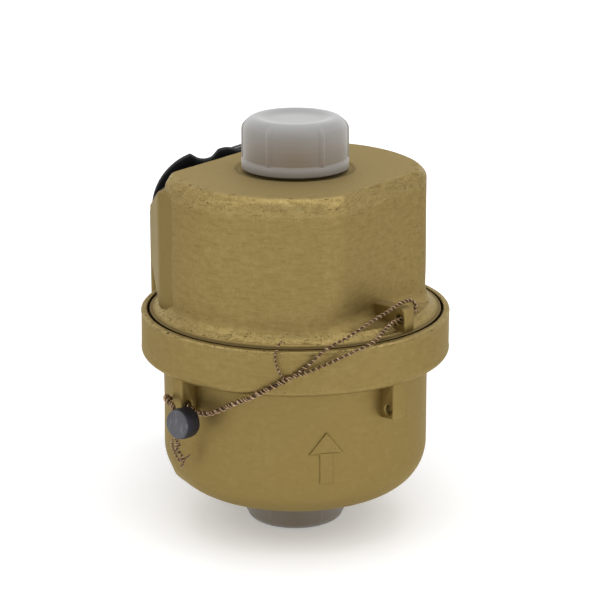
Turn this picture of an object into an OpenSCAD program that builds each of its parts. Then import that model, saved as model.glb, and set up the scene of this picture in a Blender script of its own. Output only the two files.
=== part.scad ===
// In-line water meter with two screwed brass casings and a magnetically driven register.
// The pipe axis is Z with its origin at the inlet's end, and the register is at the back (+Y).

/* [Pipe ends] */
// Outside radius of the pipe thread
thread_r = 13.22; // [12.9:0.01:13.5]
// Radius of the water passage
bore_r = 7.5; // [6.5:0.1:8]
// Length between the two thread ends
face_to_face = 115; // [113:0.5:118]
// Length of the inlet spigot below the casing
inlet_spigot_l = 9; // [8.5:0.1:9.5]
// Length of the outlet spigot above the casing
outlet_spigot_l = 12.6; // [12:0.1:14]

/* [Protective caps] */
// Radial room between the cap and the thread
cap_clearance = 0.65; // [0.6:0.01:0.75]
// Wall thickness of the cap's skirt
cap_wall = 0.9; // [0.7:0.05:1.1]
// Thickness of the cap's end
cap_end = 1.8; // [1.4:0.1:2.4]
// Room between the cap's end and the spigot
cap_end_gap = 0.55; // [0.3:0.05:0.8]
// How far the cap's lip stands out from the skirt
cap_lip = 0.75; // [0.4:0.05:1]
// Height of the lip at the cap's open end
cap_lip_h = 2.8; // [2:0.1:3.5]
// Number of grip ridges
cap_ridges = 6; // [4:1:10]
// How far a ridge stands out from the skirt
ridge_h = 0.5; // [0.3:0.05:0.7]
// Radius of the rounded shoulder
cap_round = 3; // [2:0.1:3.5]
// Depth of the dish in the cap's end
cap_dish = 0.7; // [0.4:0.05:1]
// Radial play of the cap's inner plug in the bore
plug_play = 0.08; // [0.05:0.01:0.1]
// Length of the inner plug
plug_l = 3; // [2:0.1:4]

/* [Lower casing] */
// Outside radius of the lower casing
lower_r = 38.2; // [37.6:0.1:39]
// Wall thickness of both casings
casing_wall = 4; // [3.6:0.1:4.2]
// Height from the casing's bottom to the union ring
lower_h = 39.4; // [38.8:0.1:40]
// Radius of the rounded bottom edge
bottom_round = 13.6; // [13:0.1:15]
// Outside radius of the union ring
ring_r = 44.5; // [44.2:0.1:44.8]
// Height of the union ring
ring_h = 13.3; // [13:0.1:13.6]
// Rounding of the ring's lower edge
ring_round = 2; // [1:0.1:2.4]

/* [Upper casing] */
// Outside radius of the upper casing
upper_r = 37.8; // [37.4:0.1:38.2]
// Rounding of the top rim
rim_round = 3.6; // [2:0.1:4]
// Distance of the front wrench flat from the pipe axis
front_flat_d = 30.5; // [30:0.1:31]
// Distance of the rear wrench flat from the pipe axis
rear_flat_d = 25.5; // [25:0.1:26]
// Turn of the wrench flats about the pipe axis
flat_turn = -36; // [-38:1:-34]
// Radius of the cove where the wall meets the flange
cove_r = 5; // [4.4:0.1:5.4]
// Radius of the flange that seats in the union ring
flange_r = 41.9; // [41.6:0.1:42]
// Thickness of the web that ties the register's pad to the wall
web_wall = 4; // [3.4:0.1:4.4]
// How far the web's front end stays below the top
web_drop = 4.6; // [4.4:0.1:6]
// Depth of the spot face round the outlet
spot_depth = 0.6; // [0.4:0.05:0.9]
// Radius of the spot face
spot_r = 17; // [16.6:0.1:18]

/* [Union] */
// Radius of the union thread
union_r = 40.3; // [40.1:0.05:40.4]
// Radial room in the union thread
union_play = 0.3; // [0.2:0.05:0.4]
// Wall of the screwed skirt
skirt_wall = 2.8; // [2.4:0.1:3]
// Visible groove between the flange and the ring
groove_w = 0.7; // [0.5:0.05:0.9]
// Depth of the flange's seat in the ring
seat_depth = 2; // [1.6:0.1:2.2]
// Thickness of the flat gasket under the skirt
gasket_t = 1.8; // [1.4:0.1:2.2]

/* [Seal lugs and seal] */
// Height of the sealing lug on the upper casing
upper_lug_h = 7; // [6:0.1:8]
// Width of a sealing lug
lug_w = 4.4; // [3.6:0.1:5]
// Height of a sealing lug below the union ring
lug_h = 10.6; // [10:0.1:11]
// Radius of the wire hole in a lug
lug_hole_r = 1.25; // [1.1:0.05:1.4]
// Angle of the left lug from the front
left_lug_angle = 50; // [46:1:54]
// Angle of the right lug from the front
right_lug_angle = 42; // [38:1:46]
// Angle of the upper lug from the front
upper_lug_angle = 50; // [47:1:53]
// Radius of the twisted seal wire
wire_r = 0.75; // [0.6:0.05:0.8]
// Radius of each single strand
strand_r = 0.45; // [0.35:0.05:0.5]
// Radius of the lead seal
seal_r = 4.4; // [4:0.1:4.8]
// Thickness of the lead seal
seal_t = 5.4; // [4.6:0.1:6]
// Distance of the seal's centre from the lower casing
seal_stand = 8; // [7.9:0.05:8.4]
// Angle of the seal from the front
seal_angle = 42.4; // [41:0.1:43]
// Height of the seal's centre below the union ring
seal_drop = 10.6; // [10:0.1:11.4]

/* [Measuring chamber] */
// Room for water round the measuring chamber
chamber_room = 1.1; // [0.8:0.1:1.6]
// Wall thickness of the chamber
chamber_wall = 2.6; // [2.2:0.1:2.8]
// Throw of the rotary piston
throw = 6; // [5.6:0.1:6.2]
// Room round the piston
piston_play = 0.35; // [0.3:0.01:0.45]
// Wall thickness of the piston
piston_wall = 2.2; // [1.8:0.1:2.4]
// Height of the piston
piston_h = 16.6; // [16:0.1:17]
// Thickness of the partition plate
partition_t = 1.6; // [1.2:0.1:2]
// Radius of the piston's pin
pin_r = 2; // [1.7:0.1:2.3]
// Radius of the crank shaft
shaft_r = 3; // [2.6:0.1:3.2]
// Running fit of shafts and pins
running_fit = 0.05; // [0.03:0.01:0.08]
// Radius of the drive magnet
magnet_r = 17; // [15:0.1:18]

/* [Register] */
// Turn of the register about the pipe axis
register_turn = 6; // [4:0.5:8]
// Half width of the register's lobed rim
rim_half = 38.6; // [38:0.1:39]
// Corner radius of the lobed rim
rim_corner = 18.3; // [17:0.1:19]
// Radius of each lobe on the rim's upper and lower edge
lobe_r = 4.6; // [4:0.1:5]
// How far a lobe stands out from the rim
lobe_h = 0.6; // [0.4:0.05:0.8]
// Distance of a lobe from the middle of the edge
lobe_x = 15.4; // [15:0.1:16]
// Radius of the scallop beside each lobe
scallop_r = 5; // [4.6:0.1:5.4]
// Depth of the recess between two lobes
recess_depth = 1.4; // [1:0.1:1.8]
// Thickness of the lobed rim
rim_t = 6; // [5:0.1:7]
// Outside radius of the register can
can_r = 35.4; // [35:0.1:35.8]
// Wall thickness of the register can
can_wall = 2.8; // [2.5:0.1:3]
// Thickness of the glass
glass_t = 3; // [2.5:0.1:3.5]
// Depth of the register's snout behind the pad
snout_l = 22.5; // [21.5:0.1:23]
// Thickness of the lid
lid_t = 2.2; // [1.8:0.1:2.6]
// Radius of the lid's hinge pin
hinge_r = 1.2; // [1:0.05:1.4]

/* [Register train] */
// Gear module
gear_m = 0.5; // [0.49:0.005:0.51]
// Teeth of the follower's pinion
follower_teeth = 10; // [10:1:10]
// Teeth of the wheel that it drives
transfer_teeth = 26; // [26:1:26]
// Teeth of the second pinion
second_teeth = 12; // [12:1:12]
// Teeth of the idler
idler_teeth = 20; // [20:1:20]
// Teeth on the first number wheel
number_teeth = 24; // [24:1:24]
// Backlash, as a share of the tooth's width
backlash = 0.24; // [0.18:0.01:0.3]
// Radius of a number wheel
number_r = 8; // [7.6:0.1:8.2]
// Width of a number wheel
number_w = 5.6; // [5.2:0.1:5.65]
// Room between number wheels
number_gap = 0.4; // [0.35:0.01:0.45]
// Radius of the number axle
axle_r = 1.5; // [1.3:0.05:1.6]
// Radius of the arbor pivots
pivot_r = 0.8; // [0.6:0.05:0.9]
// Radius of the follower magnet
follower_r = 5.2; // [4.8:0.1:5.3]

/* [Hidden] */
$fn = 96;
// Overlap used where one shape runs into another
eps = 0.2;
far = 200;

brass = [0.62, 0.53, 0.32];
milky = [0.80, 0.79, 0.78];
black = [0.08, 0.08, 0.09];
cream = [0.86, 0.84, 0.78];
steel = [0.70, 0.71, 0.72];
rubber = [0.12, 0.12, 0.12];

// Levels along the pipe axis
z_outlet = face_to_face;
z_mid = face_to_face / 2;
z_bottom = inlet_spigot_l;
z_ring = z_bottom + lower_h;
z_ring_top = z_ring + ring_h;
z_top = z_outlet - outlet_spigot_l;
z_floor = z_bottom + casing_wall;
z_seat = z_ring_top - seat_depth;
ledge_depth = 10.5;
roof_t = 7;
z_ledge = z_ring_top - ledge_depth;
cavity_r = lower_r - casing_wall;
chamber_r = cavity_r - chamber_room - chamber_wall;
skirt_in_r = union_r - skirt_wall;

// Caps
cap_in_r = thread_r + cap_clearance;
cap_r = cap_in_r + cap_wall;
lip_r = cap_r + cap_lip;
cap_reach = cap_end + cap_end_gap;
inlet_cap_h = cap_reach + inlet_spigot_l - 0.4;
outlet_cap_h = cap_reach + outlet_spigot_l + spot_depth - 1.4;
plug_wall = 1.2;

// Measuring chamber, seated on the ledge inside the union ring
flange_t = 2.5;
cover_t = 3;
plate_r = skirt_in_r - 0.4;
z_plate = z_ledge + flange_t;
z_cover_top = z_plate + cover_t;
cover_seal_t = 1;
z_shoulder = z_cover_top + cover_seal_t;
z_roof = z_plate - 5.65;
z_piston = z_roof - piston_play - piston_h;
z_chamber_floor = z_piston - piston_play;
chamber_floor_t = 3;
piston_r = chamber_r - throw - piston_play;
piston_in_r = piston_r - piston_wall;
hub_r = piston_in_r - throw - piston_play;
hub_wall = 2;
web_t = 2;
crank_t = 3;
z_crank = z_roof - piston_play - crank_t;
z_web = z_crank - 0.7 - web_t;
crank_r = throw + pin_r + 1.6;
slot_half = throw + partition_t / 2 + 0.5;
partition_angle = 90;
port_r = 3;
port_span = 26;

// Offsets of the two gear planes and the two cheeks from the neck's centre
follower_h = 7.6;
gear_w = 2.4;
dz_first = follower_h / 2 + 1;
dz_second = -gear_w / 2;
cheek_t = 1.5;
dz_upper = dz_first + gear_w + 0.5;
dz_lower = -7.4;
train_room = 1.2;

// Drive magnet and the neck of the register
can_in_r = can_r - can_wall;
pad_room = 0.5;
pad_y = ring_r + pad_room;
z_neck = z_mid + can_in_r - dz_upper - cheek_t - train_room;
neck_r = 15.5;
snout_r = 12;
snout_wall = 1.2;
snout_in_r = snout_r - snout_wall;
pocket_r = snout_r + 0.3;
neck_y = pad_y - snout_l;
pocket_y = neck_y + 3;
snout_y = pocket_y + 0.8;
magnet_h = 10;
collar_h = 2;
collar_step = 3;
z_collar = z_neck - magnet_h / 2 - collar_h;

// Register levels along its own axis, which points away from the pipe
pad_t = 2.6;
pad_half_w = 39.4;
pad_half_h = 30;
pad_corner = 10;
reg_gasket_t = 0.8;
y_reg = pad_y + pad_t + reg_gasket_t;
floor_t = 2;
y_floor = y_reg + floor_t;
frame_t = 1.2;
seat_r = can_r - 1.6;
disc_r = seat_r - 0.2;
y_axle = y_floor + frame_t + 0.3 + number_r;
y_dial = y_axle + number_r + 0.8;
dial_t = 1;
glass_seal_t = 1.2;
y_glass = y_dial + dial_t + glass_seal_t;
y_can_end = y_glass + glass_t + 0.5;
bezel_t = 2.2;
y_bezel_end = y_can_end + bezel_t;
lid_gap = 0.5;
y_lid = y_bezel_end + lid_gap;
screw_x = 31;
screw_z = 22;
screw_r = 1.9;

// Hinge of the lid, parallel to the pipe on the right of the dial
hinge_barrel_r = hinge_r + 1.3;
hinge_x = can_r + hinge_barrel_r + 0.5;
hinge_y = y_bezel_end;
knuckle_l = 7;
knuckle_gap = 0.4;

// Gear train, in the plane across the pipe axis
follower_y = snout_y + snout_wall + follower_r + 0.6;
transfer_y = follower_y + gear_m * (follower_teeth + transfer_teeth) / 2;
d_si = gear_m * (second_teeth + idler_teeth) / 2;
d_in = gear_m * (idler_teeth + number_teeth) / 2;
d_sn = y_axle - transfer_y;
idler_dy = (d_sn * d_sn + d_si * d_si - d_in * d_in) / (2 * d_sn);
idler_x = sqrt(d_si * d_si - idler_dy * idler_dy);
idler_y = transfer_y + idler_dy;
idler_turn = mesh_turn(second_teeth, 0, idler_teeth, atan2(idler_dy, idler_x));
number_turn = mesh_turn(idler_teeth, idler_turn, number_teeth, atan2(y_axle - idler_y, -idler_x));
idler_tip = gear_m * (idler_teeth / 2 + 0.9);
cheek_half = 3.6;
wheels = 6;
wheel_pitch = number_w + number_gap;
z_wheels = z_neck - gear_w / 2 - number_gap;
z_wheels_end = z_wheels - wheels * wheel_pitch;
frame_half_w = 11;

// Shared shapes

// A plain disc or tube on the pipe axis between two levels
module tube(r, z0, z1, r_in = 0) {
    translate([0, 0, z0]) difference() {
        cylinder(r = r, h = z1 - z0);
        if (r_in > 0) translate([0, 0, -eps]) cylinder(r = r_in, h = z1 - z0 + 2 * eps);
    }
}

// Places children in the register's own turned frame
module register_frame() {
    rotate([0, 0, register_turn]) children();
}

// A disc or tube on the register's axis, with y measured from the pipe axis
module dial_tube(r, y0, y1, r_in = 0, z = z_mid) {
    register_frame() translate([0, y0, z]) rotate([-90, 0, 0]) difference() {
        cylinder(r = r, h = y1 - y0);
        if (r_in > 0) translate([0, 0, -eps]) cylinder(r = r_in, h = y1 - y0 + 2 * eps);
    }
}

// A slab across the register's axis, drawn in x and z about the given level
module slab(y0, y1, z = z_mid) {
    register_frame() translate([0, y1, z]) rotate([90, 0, 0]) linear_extrude(y1 - y0) children();
}

module rounded_rect(half_w, half_h, r) {
    square([2 * half_w, 2 * (half_h - r)], center = true);
    square([2 * (half_w - r), 2 * half_h], center = true);
    for (sx = [-1, 1], sy = [-1, 1])
        translate([sx * (half_w - r), sy * (half_h - r)]) circle(r = r);
}

// Spur gear with straight-flanked teeth; the first tooth points along +X
module gear_2d(teeth) {
    pitch = gear_m * teeth / 2;
    tip = pitch + gear_m * 0.9;
    root = pitch - gear_m * 1.15;
    step = 360 / teeth;
    half = step * (1 - backlash) / 4;
    polygon([
        for (i = [0 : teeth - 1], p = [[root, -1.6], [tip, -0.45], [tip, 0.45], [root, 1.6]])
            let (a = i * step + p[1] * half)
            [p[0] * cos(a), p[0] * sin(a)]
    ]);
}

// Turn that puts a second gear in mesh with a first one, seen along the angle from first to second
function mesh_turn(teeth_1, turn_1, teeth_2, angle) =
    angle + 180 - 360 / teeth_2 * (0.5 - (angle - turn_1) * teeth_1 / 360);

module gear_at(x, y, dz, teeth, turn = 0) {
    register_frame() translate([x, y, z_neck + dz]) rotate([0, 0, turn])
        linear_extrude(gear_w) gear_2d(teeth);
}

// An arbor along the pipe direction, in the register's frame
module arbor(x, y, z0, z1, r) {
    register_frame() translate([x, y, z0]) cylinder(r = r, h = z1 - z0, $fn = 48);
}

// Swept tube along a list of points
function unit(v) = v / norm(v);
function tangent(path, i) =
    unit(path[min(i + 1, len(path) - 1)] - path[max(i - 1, 0)]);
function side_axis(t) = unit(cross(t, abs(t[2]) > 0.9 ? [1, 0, 0] : [0, 0, 1]));

module swept_tube(path, r, sides = 8) {
    n = len(path);
    points = [
        for (i = [0 : n - 1])
            let (t = tangent(path, i), u = side_axis(t), v = cross(u, t))
            for (k = [0 : sides - 1])
                path[i] + r * (cos(360 * k / sides) * u + sin(360 * k / sides) * v)
    ];
    walls = [
        for (i = [0 : n - 2], k = [0 : sides - 1])
            let (a = i * sides + k, b = i * sides + (k + 1) % sides)
            [a, b, b + sides, a + sides]
    ];
    ends = [
        [for (k = [0 : sides - 1]) sides - 1 - k],
        [for (k = [0 : sides - 1]) (n - 1) * sides + k]
    ];
    polyhedron(points = points, faces = concat(walls, ends), convexity = 4);
}

// Casings

module lower_profile() {
    difference() {
        union() {
            difference() {
                translate([0, z_bottom]) square([lower_r, lower_h + 1]);
                translate([lower_r - bottom_round, z_bottom]) difference() {
                    translate([0, -1]) square([bottom_round + 1, bottom_round + 1]);
                    translate([0, bottom_round]) circle(r = bottom_round);
                }
            }
            difference() {
                translate([0, z_ring]) square([ring_r, ring_h]);
                translate([ring_r - ring_round, z_ring]) difference() {
                    translate([0, -1]) square([ring_round + 1, ring_round + 1]);
                    translate([0, ring_round]) circle(r = ring_round);
                }
            }
        }
        lower_cavity();
        translate([0, z_ledge]) square([union_r + union_play, far]);
        translate([0, z_seat]) square([flange_r + groove_w, far]);
    }
}

module lower_cavity() {
    in_round = bottom_round - casing_wall;
    difference() {
        translate([0, z_floor]) square([cavity_r, far]);
        translate([cavity_r - in_round, z_floor]) difference() {
            translate([0, -1]) square([in_round + 1, in_round + 1]);
            translate([0, in_round]) circle(r = in_round);
        }
    }
}

// Lug with a wire hole across it, at an angle from the front, negative to the left
module lug(angle, r0, r1, z0, z1) {
    rotate([0, 0, angle - 90]) translate([r0, -lug_w / 2, z0]) cube([r1 - r0, lug_w, z1 - z0]);
}

module lug_hole(angle, r, z) {
    rotate([0, 0, angle - 90]) translate([r, 0, z]) rotate([90, 0, 0])
        cylinder(r = lug_hole_r, h = 3 * lug_w, center = true, $fn = 32);
}

lug_tip_r = lower_r + 5;
lug_hole_z = z_ring - lug_h + 3;

module lower_casing() {
    color(brass) difference() {
        union() {
            rotate_extrude() lower_profile();
            tube(thread_r, 0, z_bottom + 1);
            lug(-left_lug_angle, lower_r - 1, lug_tip_r, z_ring - lug_h, z_ring + 1);
            lug(right_lug_angle, lower_r - 1, lug_tip_r, z_ring - lug_h, z_ring + 1);
        }
        tube(bore_r, -1, z_floor + 1);
        lug_hole(-left_lug_angle, lug_tip_r - 2.2, lug_hole_z);
        lug_hole(right_lug_angle, lug_tip_r - 2.2, lug_hole_z);
    }
}

module upper_profile() {
    difference() {
        union() {
            difference() {
                translate([0, z_seat]) square([upper_r, z_top - z_seat]);
                translate([upper_r - rim_round, z_top - rim_round]) difference() {
                    square([rim_round + 1, rim_round + 1]);
                    circle(r = rim_round);
                }
            }
            difference() {
                translate([0, z_seat]) square([flange_r, seat_depth + cove_r]);
                translate([upper_r + cove_r, z_ring_top + cove_r]) circle(r = cove_r);
                translate([upper_r + cove_r, z_ring_top]) square([cove_r, far]);
            }
            translate([0, z_ledge + gasket_t]) square([union_r, z_seat - z_ledge]);
        }
        translate([0, z_top - spot_depth]) square([spot_r, far]);
        square([skirt_in_r, z_shoulder]);
    }
}

// Hollow of the upper casing: round, with a flat behind each wrench flat
module upper_cavity() {
    front = front_flat_d - casing_wall;
    rear = rear_flat_d - casing_wall;
    intersection() {
        tube(upper_r - casing_wall - 0.6, z_shoulder - 1, z_top - roof_t);
        rotate([0, 0, flat_turn]) translate([-rear, -far / 2, 0]) cube([front + rear, far, far]);
    }
}

// The space outside one wrench flat, filleted at its foot and broken at its top edge
module flat_cut(flat_d) {
    foot = 4;
    edge = 1.2;
    length = 2 * upper_r;
    translate([0, length / 2, 0]) rotate([90, 0, 0]) linear_extrude(length) {
        translate([flat_d, z_ring_top + 2.5]) difference() {
            square([far, far]);
            difference() {
                square(foot);
                translate([foot, foot]) circle(r = foot);
            }
        }
        polygon([
            [flat_d - edge, z_top + eps],
            [flat_d + eps, z_top - edge - eps],
            [flat_d + 2, z_top + 2]
        ]);
    }
}

upper_lug_z = z_ring_top + 3.8;
upper_lug_tip = flange_r - 0.5;

module upper_casing() {
    color(brass) difference() {
        union() {
            difference() {
                rotate_extrude() upper_profile();
                rotate([0, 0, flat_turn]) flat_cut(front_flat_d);
                rotate([0, 0, flat_turn + 180]) flat_cut(rear_flat_d);
                upper_cavity();
            }
            dial_tube(neck_r, neck_y, pad_y + 1, 0, z_neck);
            slab(pad_y, pad_y + pad_t) pad_outline();
            pad_web();
            tube(thread_r, z_top - 4, z_outlet);
            lug(upper_lug_angle, front_flat_d - 1, upper_lug_tip, z_ring_top - 0.5, z_ring_top + upper_lug_h);
        }
        tube(bore_r, z_top - roof_t - 2, z_outlet + 1);
        dial_tube(pocket_r, pocket_y, pad_y + pad_t + 1, 0, z_neck);
        lug_hole(upper_lug_angle, upper_lug_tip - 2, upper_lug_z);
        register_frame() for (sx = [-1, 1], sz = [-1, 1])
            translate([sx * screw_x, pad_y - 1, z_mid + sz * screw_z]) rotate([-90, 0, 0])
                cylinder(r = screw_r + 0.2, h = pad_t + 2, $fn = 32);
    }
}

// Outline of the register pad, open in the middle below the neck
module pad_outline() {
    open_half_w = 24;
    open_half_h = 17;
    difference() {
        rounded_rect(pad_half_w, pad_half_h, pad_corner);
        translate([0, -7]) rounded_rect(open_half_w, open_half_h, 6);
    }
}

// Web on the side of the rear flat, which leaves the wall at its tip and falls towards the pad
module pad_web() {
    tip_y = -12;
    knee_y = -4;
    tip_x = sqrt(upper_r * upper_r - tip_y * tip_y);
    inner_x = pad_half_w - web_wall;
    z_foot = z_ring_top + 1;
    z_front = z_top - web_drop;
    z_back = z_mid + pad_half_h - 5.5;
    register_frame() intersection() {
        translate([0, 0, z_foot]) linear_extrude(z_top - z_foot) polygon([
            [-tip_x, tip_y], [-pad_half_w, knee_y], [-pad_half_w, pad_y + eps],
            [-inner_x, pad_y + eps], [-inner_x, knee_y + 1], [web_wall - pad_half_w + 2.4, tip_y]
        ]);
        translate([-far / 2, 0, 0]) rotate([90, 0, 90]) linear_extrude(far / 2) polygon([
            [tip_y - 1, z_foot - 1], [pad_y + 1, z_foot - 1], [pad_y + 1, z_back],
            [knee_y, z_front], [tip_y - 1, z_front]
        ]);
    }
}

module casing_gasket() {
    color(rubber) tube(union_r, z_ledge, z_ledge + gasket_t, skirt_in_r + 0.1);
}

// Protective caps, drawn with the end at zero and the open side up
module cap(h) {
    difference() {
        union() {
            rotate_extrude() difference() {
                union() {
                    translate([0, cap_round]) square([cap_r, h - cap_round]);
                    square([cap_r - cap_round, h]);
                    translate([cap_r - cap_round, cap_round]) circle(r = cap_round);
                    translate([0, h - cap_lip_h]) square([lip_r, cap_lip_h]);
                }
                translate([0, cap_end]) square([cap_in_r, h]);
            }
            intersection() {
                for (i = [0 : cap_ridges - 1]) rotate([0, 0, 30 + i * 360 / cap_ridges])
                    translate([cap_r - 0.4, -0.6, 0]) cube([ridge_h + 0.4, 1.2, h]);
                rotate_extrude() union() {
                    translate([0, cap_round]) square([cap_r + 1, h - cap_round]);
                    translate([cap_r - cap_round, cap_round]) circle(r = cap_round + ridge_h);
                }
            }
            tube(bore_r - plug_play, cap_end - eps, cap_reach + plug_l, bore_r - plug_play - plug_wall);
        }
        translate([0, 0, -1]) cylinder(r = cap_r - cap_round - 1, h = cap_dish + 1);
    }
}

module inlet_cap() {
    color(milky) translate([0, 0, -cap_reach]) cap(inlet_cap_h);
}

module outlet_cap() {
    color(milky) translate([0, 0, z_outlet + cap_reach]) mirror([0, 0, 1]) cap(outlet_cap_h);
}

// Measuring chamber

module inlet_strainer() {
    slots = 12;
    basket_step = 3;
    head_room = 4;
    basket_r = bore_r + basket_step;
    basket_h = z_chamber_floor - chamber_floor_t - z_floor - head_room;
    color(cream) difference() {
        union() {
            tube(basket_r + basket_step, z_floor, z_floor + 1.2);
            tube(basket_r, z_floor, z_floor + basket_h);
        }
        tube(basket_r - 1, z_floor - 1, z_floor + basket_h - 1);
        for (i = [0 : slots - 1], k = [0 : 2]) rotate([0, 0, i * 360 / slots])
            translate([basket_r - 3, -0.8, z_floor + 2.2 + 2.2 * k]) cube([6, 1.6, 1.2]);
    }
}

// A port with round ends, bent about the pipe axis
module port(angle, z, h) {
    mid_r = (piston_r + hub_r) / 2;
    rotate([0, 0, angle]) translate([0, 0, z]) {
        for (a = [-port_span / 2, port_span / 2]) rotate([0, 0, a])
            translate([mid_r, 0, 0]) cylinder(r = port_r, h = h, $fn = 32);
        rotate([0, 0, -port_span / 2]) rotate_extrude(angle = port_span)
            translate([mid_r - port_r, 0]) square([2 * port_r, h]);
    }
}

port_offset = 34;

module measuring_chamber() {
    z_under = z_chamber_floor - chamber_floor_t;
    color(cream) difference() {
        union() {
            tube(chamber_r + chamber_wall, z_under, z_plate, chamber_r);
            tube(plate_r, z_ledge, z_plate, chamber_r);
            tube(chamber_r + 1, z_under, z_chamber_floor);
            tube(hub_r, z_chamber_floor - 1, z_web - 2 * piston_play, hub_r - hub_wall);
        }
        port(partition_angle - port_offset, z_under - 1, chamber_floor_t + 2);
    }
}

module partition_plate() {
    inner = hub_r;
    color(steel) rotate([0, 0, partition_angle])
        translate([inner, -partition_t / 2, z_chamber_floor])
            cube([chamber_r - inner, partition_t, z_roof - z_chamber_floor]);
}

module chamber_cover() {
    dish_r = chamber_r - 0.25;
    bearing_wall = 3;
    bearing_l = 8;
    bearing_r = shaft_r + bearing_wall;
    color(cream) difference() {
        union() {
            tube(plate_r, z_plate, z_cover_top, dish_r - 2.4);
            tube(dish_r, z_roof, z_cover_top, dish_r - 2.4);
            tube(dish_r, z_roof, z_roof + 2.6);
            tube(bearing_r, z_roof, z_cover_top + bearing_l);
        }
        tube(shaft_r + running_fit, z_roof - 1, z_cover_top + bearing_l + 1);
        port(partition_angle + port_offset, z_roof - 1, 4.6);
    }
}

module cover_seal() {
    color(rubber) tube(plate_r - 1, z_cover_top, z_shoulder, plate_r - 5);
}

// The piston's centre sits one throw along +X from the pipe axis
module rotary_piston() {
    holes = 5;
    hole_r = 3.4;
    hole_ring = (piston_in_r + pin_r) / 2 + 1;
    color(black) translate([throw, 0, 0]) difference() {
        union() {
            tube(piston_r, z_piston, z_piston + piston_h, piston_in_r);
            tube(piston_in_r + 1, z_web, z_web + web_t);
            tube(pin_r, z_web, z_crank + crank_t - 0.4);
        }
        rotate([0, 0, partition_angle]) translate([hub_r - throw - 0.6, -slot_half, z_piston - 1])
            cube([far, 2 * slot_half, piston_h + 2]);
        for (i = [0 : holes - 1]) rotate([0, 0, partition_angle + (i + 1) * 360 / (holes + 1)])
            translate([hole_ring, 0, z_web - 1]) cylinder(r = hole_r, h = web_t + 2, $fn = 48);
    }
}

module drive_crank() {
    color(steel) difference() {
        union() {
            tube(crank_r, z_crank, z_crank + crank_t);
            tube(shaft_r, z_crank, z_neck + magnet_h / 2 + 3);
            tube(shaft_r + collar_step, z_collar, z_neck - magnet_h / 2);
        }
        translate([throw, 0, z_crank - 1]) cylinder(r = pin_r + running_fit, h = crank_t + 2, $fn = 48);
    }
}

module drive_magnet() {
    color([0.25, 0.25, 0.27])
        tube(magnet_r, z_neck - magnet_h / 2, z_neck + magnet_h / 2, shaft_r + running_fit);
}

// Seal wire and lead seal

// All heights here are measured from the underside of the union ring
seal_at_r = lower_r + seal_stand;
seal_centre = [-seal_at_r * sin(seal_angle), -seal_at_r * cos(seal_angle), -seal_drop];
seal_dir = [-0.66, -0.75, 0.06];
// Route of the twisted pair from the lead seal through the left lug and over the ring
wire_route = [
    [-31.2, -34.1, -10.6], [-33.6, -31.6, -7.2], [-35.9, -27.6, -6], [-36, -23.8, -6.6],
    [-33.9, -23.4, -7.6], [-31.4, -26.4, -7.6], [-29, -29.4, -7.9], [-26.6, -32.2, -8.4],
    [-23, -35.8, -7], [-17.9, -39.3, -3.6], [-12.5, -43.2, -0.1], [-6.9, -45.1, 3.3],
    [-1.5, -45.5, 6.2]
];
// Route of one strand on to the upper lug, through its hole and back over its top
strand_route = [
    [-1.5, -45.5, 6.2], [6, -45.3, 9], [14, -43.6, 12.2], [20.8, -40, 14.4], [24.6, -33.6, 16.2],
    [27.2, -29, 17.1], [30.2, -25.3, 17.1], [32.8, -22.2, 17.4], [33.6, -20.8, 19.4],
    [32, -22.6, 21.4], [29, -26.4, 21.6], [25, -31.6, 20.6], [20, -36.6, 19], [14.5, -41.2, 16.6],
    [8, -45, 14], [3.4, -45.4, 9.8], [-1.5, -45.5, 6.2]
];

module seal_wire() {
    color([0.60, 0.40, 0.30]) translate([0, 0, z_ring]) {
        swept_tube(wire_route, wire_r);
        swept_tube(strand_route, strand_r);
    }
}

module lead_seal() {
    turn = atan2(seal_dir[1], seal_dir[0]);
    lean = acos(seal_dir[2] / norm(seal_dir));
    color([0.27, 0.27, 0.33]) translate(seal_centre + [0, 0, z_ring]) rotate([0, lean, turn])
        cylinder(r = seal_r, h = seal_t, center = true);
}

// Register

module register_gasket() {
    color(rubber) slab(pad_y + pad_t, y_reg) difference() {
        pad_outline();
        translate([0, z_neck - z_mid]) circle(r = pocket_r + 0.6);
        for (sx = [-1, 1], sz = [-1, 1]) translate([sx * screw_x, sz * screw_z])
            circle(r = screw_r + 0.2, $fn = 32);
    }
}

// Rounded square with two lobes, two scallops and a recess on its upper and its lower edge
module lobed_outline() {
    lobe_z = rim_half + lobe_h - lobe_r;
    scallop_x = lobe_x + lobe_r + scallop_r / 2;
    scallop_z = rim_half + 0.44 * scallop_r;
    recess_half = lobe_x - lobe_r;
    difference() {
        rounded_rect(rim_half, rim_half, rim_corner);
        for (sx = [-1, 1], sz = [-1, 1]) translate([sx * scallop_x, sz * scallop_z]) circle(r = scallop_r);
        for (sz = [-1, 1]) translate([0, sz * rim_half])
            square([2 * recess_half, 2 * recess_depth], center = true);
    }
    for (sx = [-1, 1], sz = [-1, 1]) translate([sx * lobe_x, sz * lobe_z]) circle(r = lobe_r);
}

module hinge_barrel(z0, z1) {
    register_frame() translate([hinge_x, hinge_y, z0]) cylinder(r = hinge_barrel_r, h = z1 - z0, $fn = 48);
}

module hinge_bore(play) {
    register_frame() translate([hinge_x, hinge_y, z_mid - far / 2])
        cylinder(r = hinge_r + play, h = far, $fn = 48);
}

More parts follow.
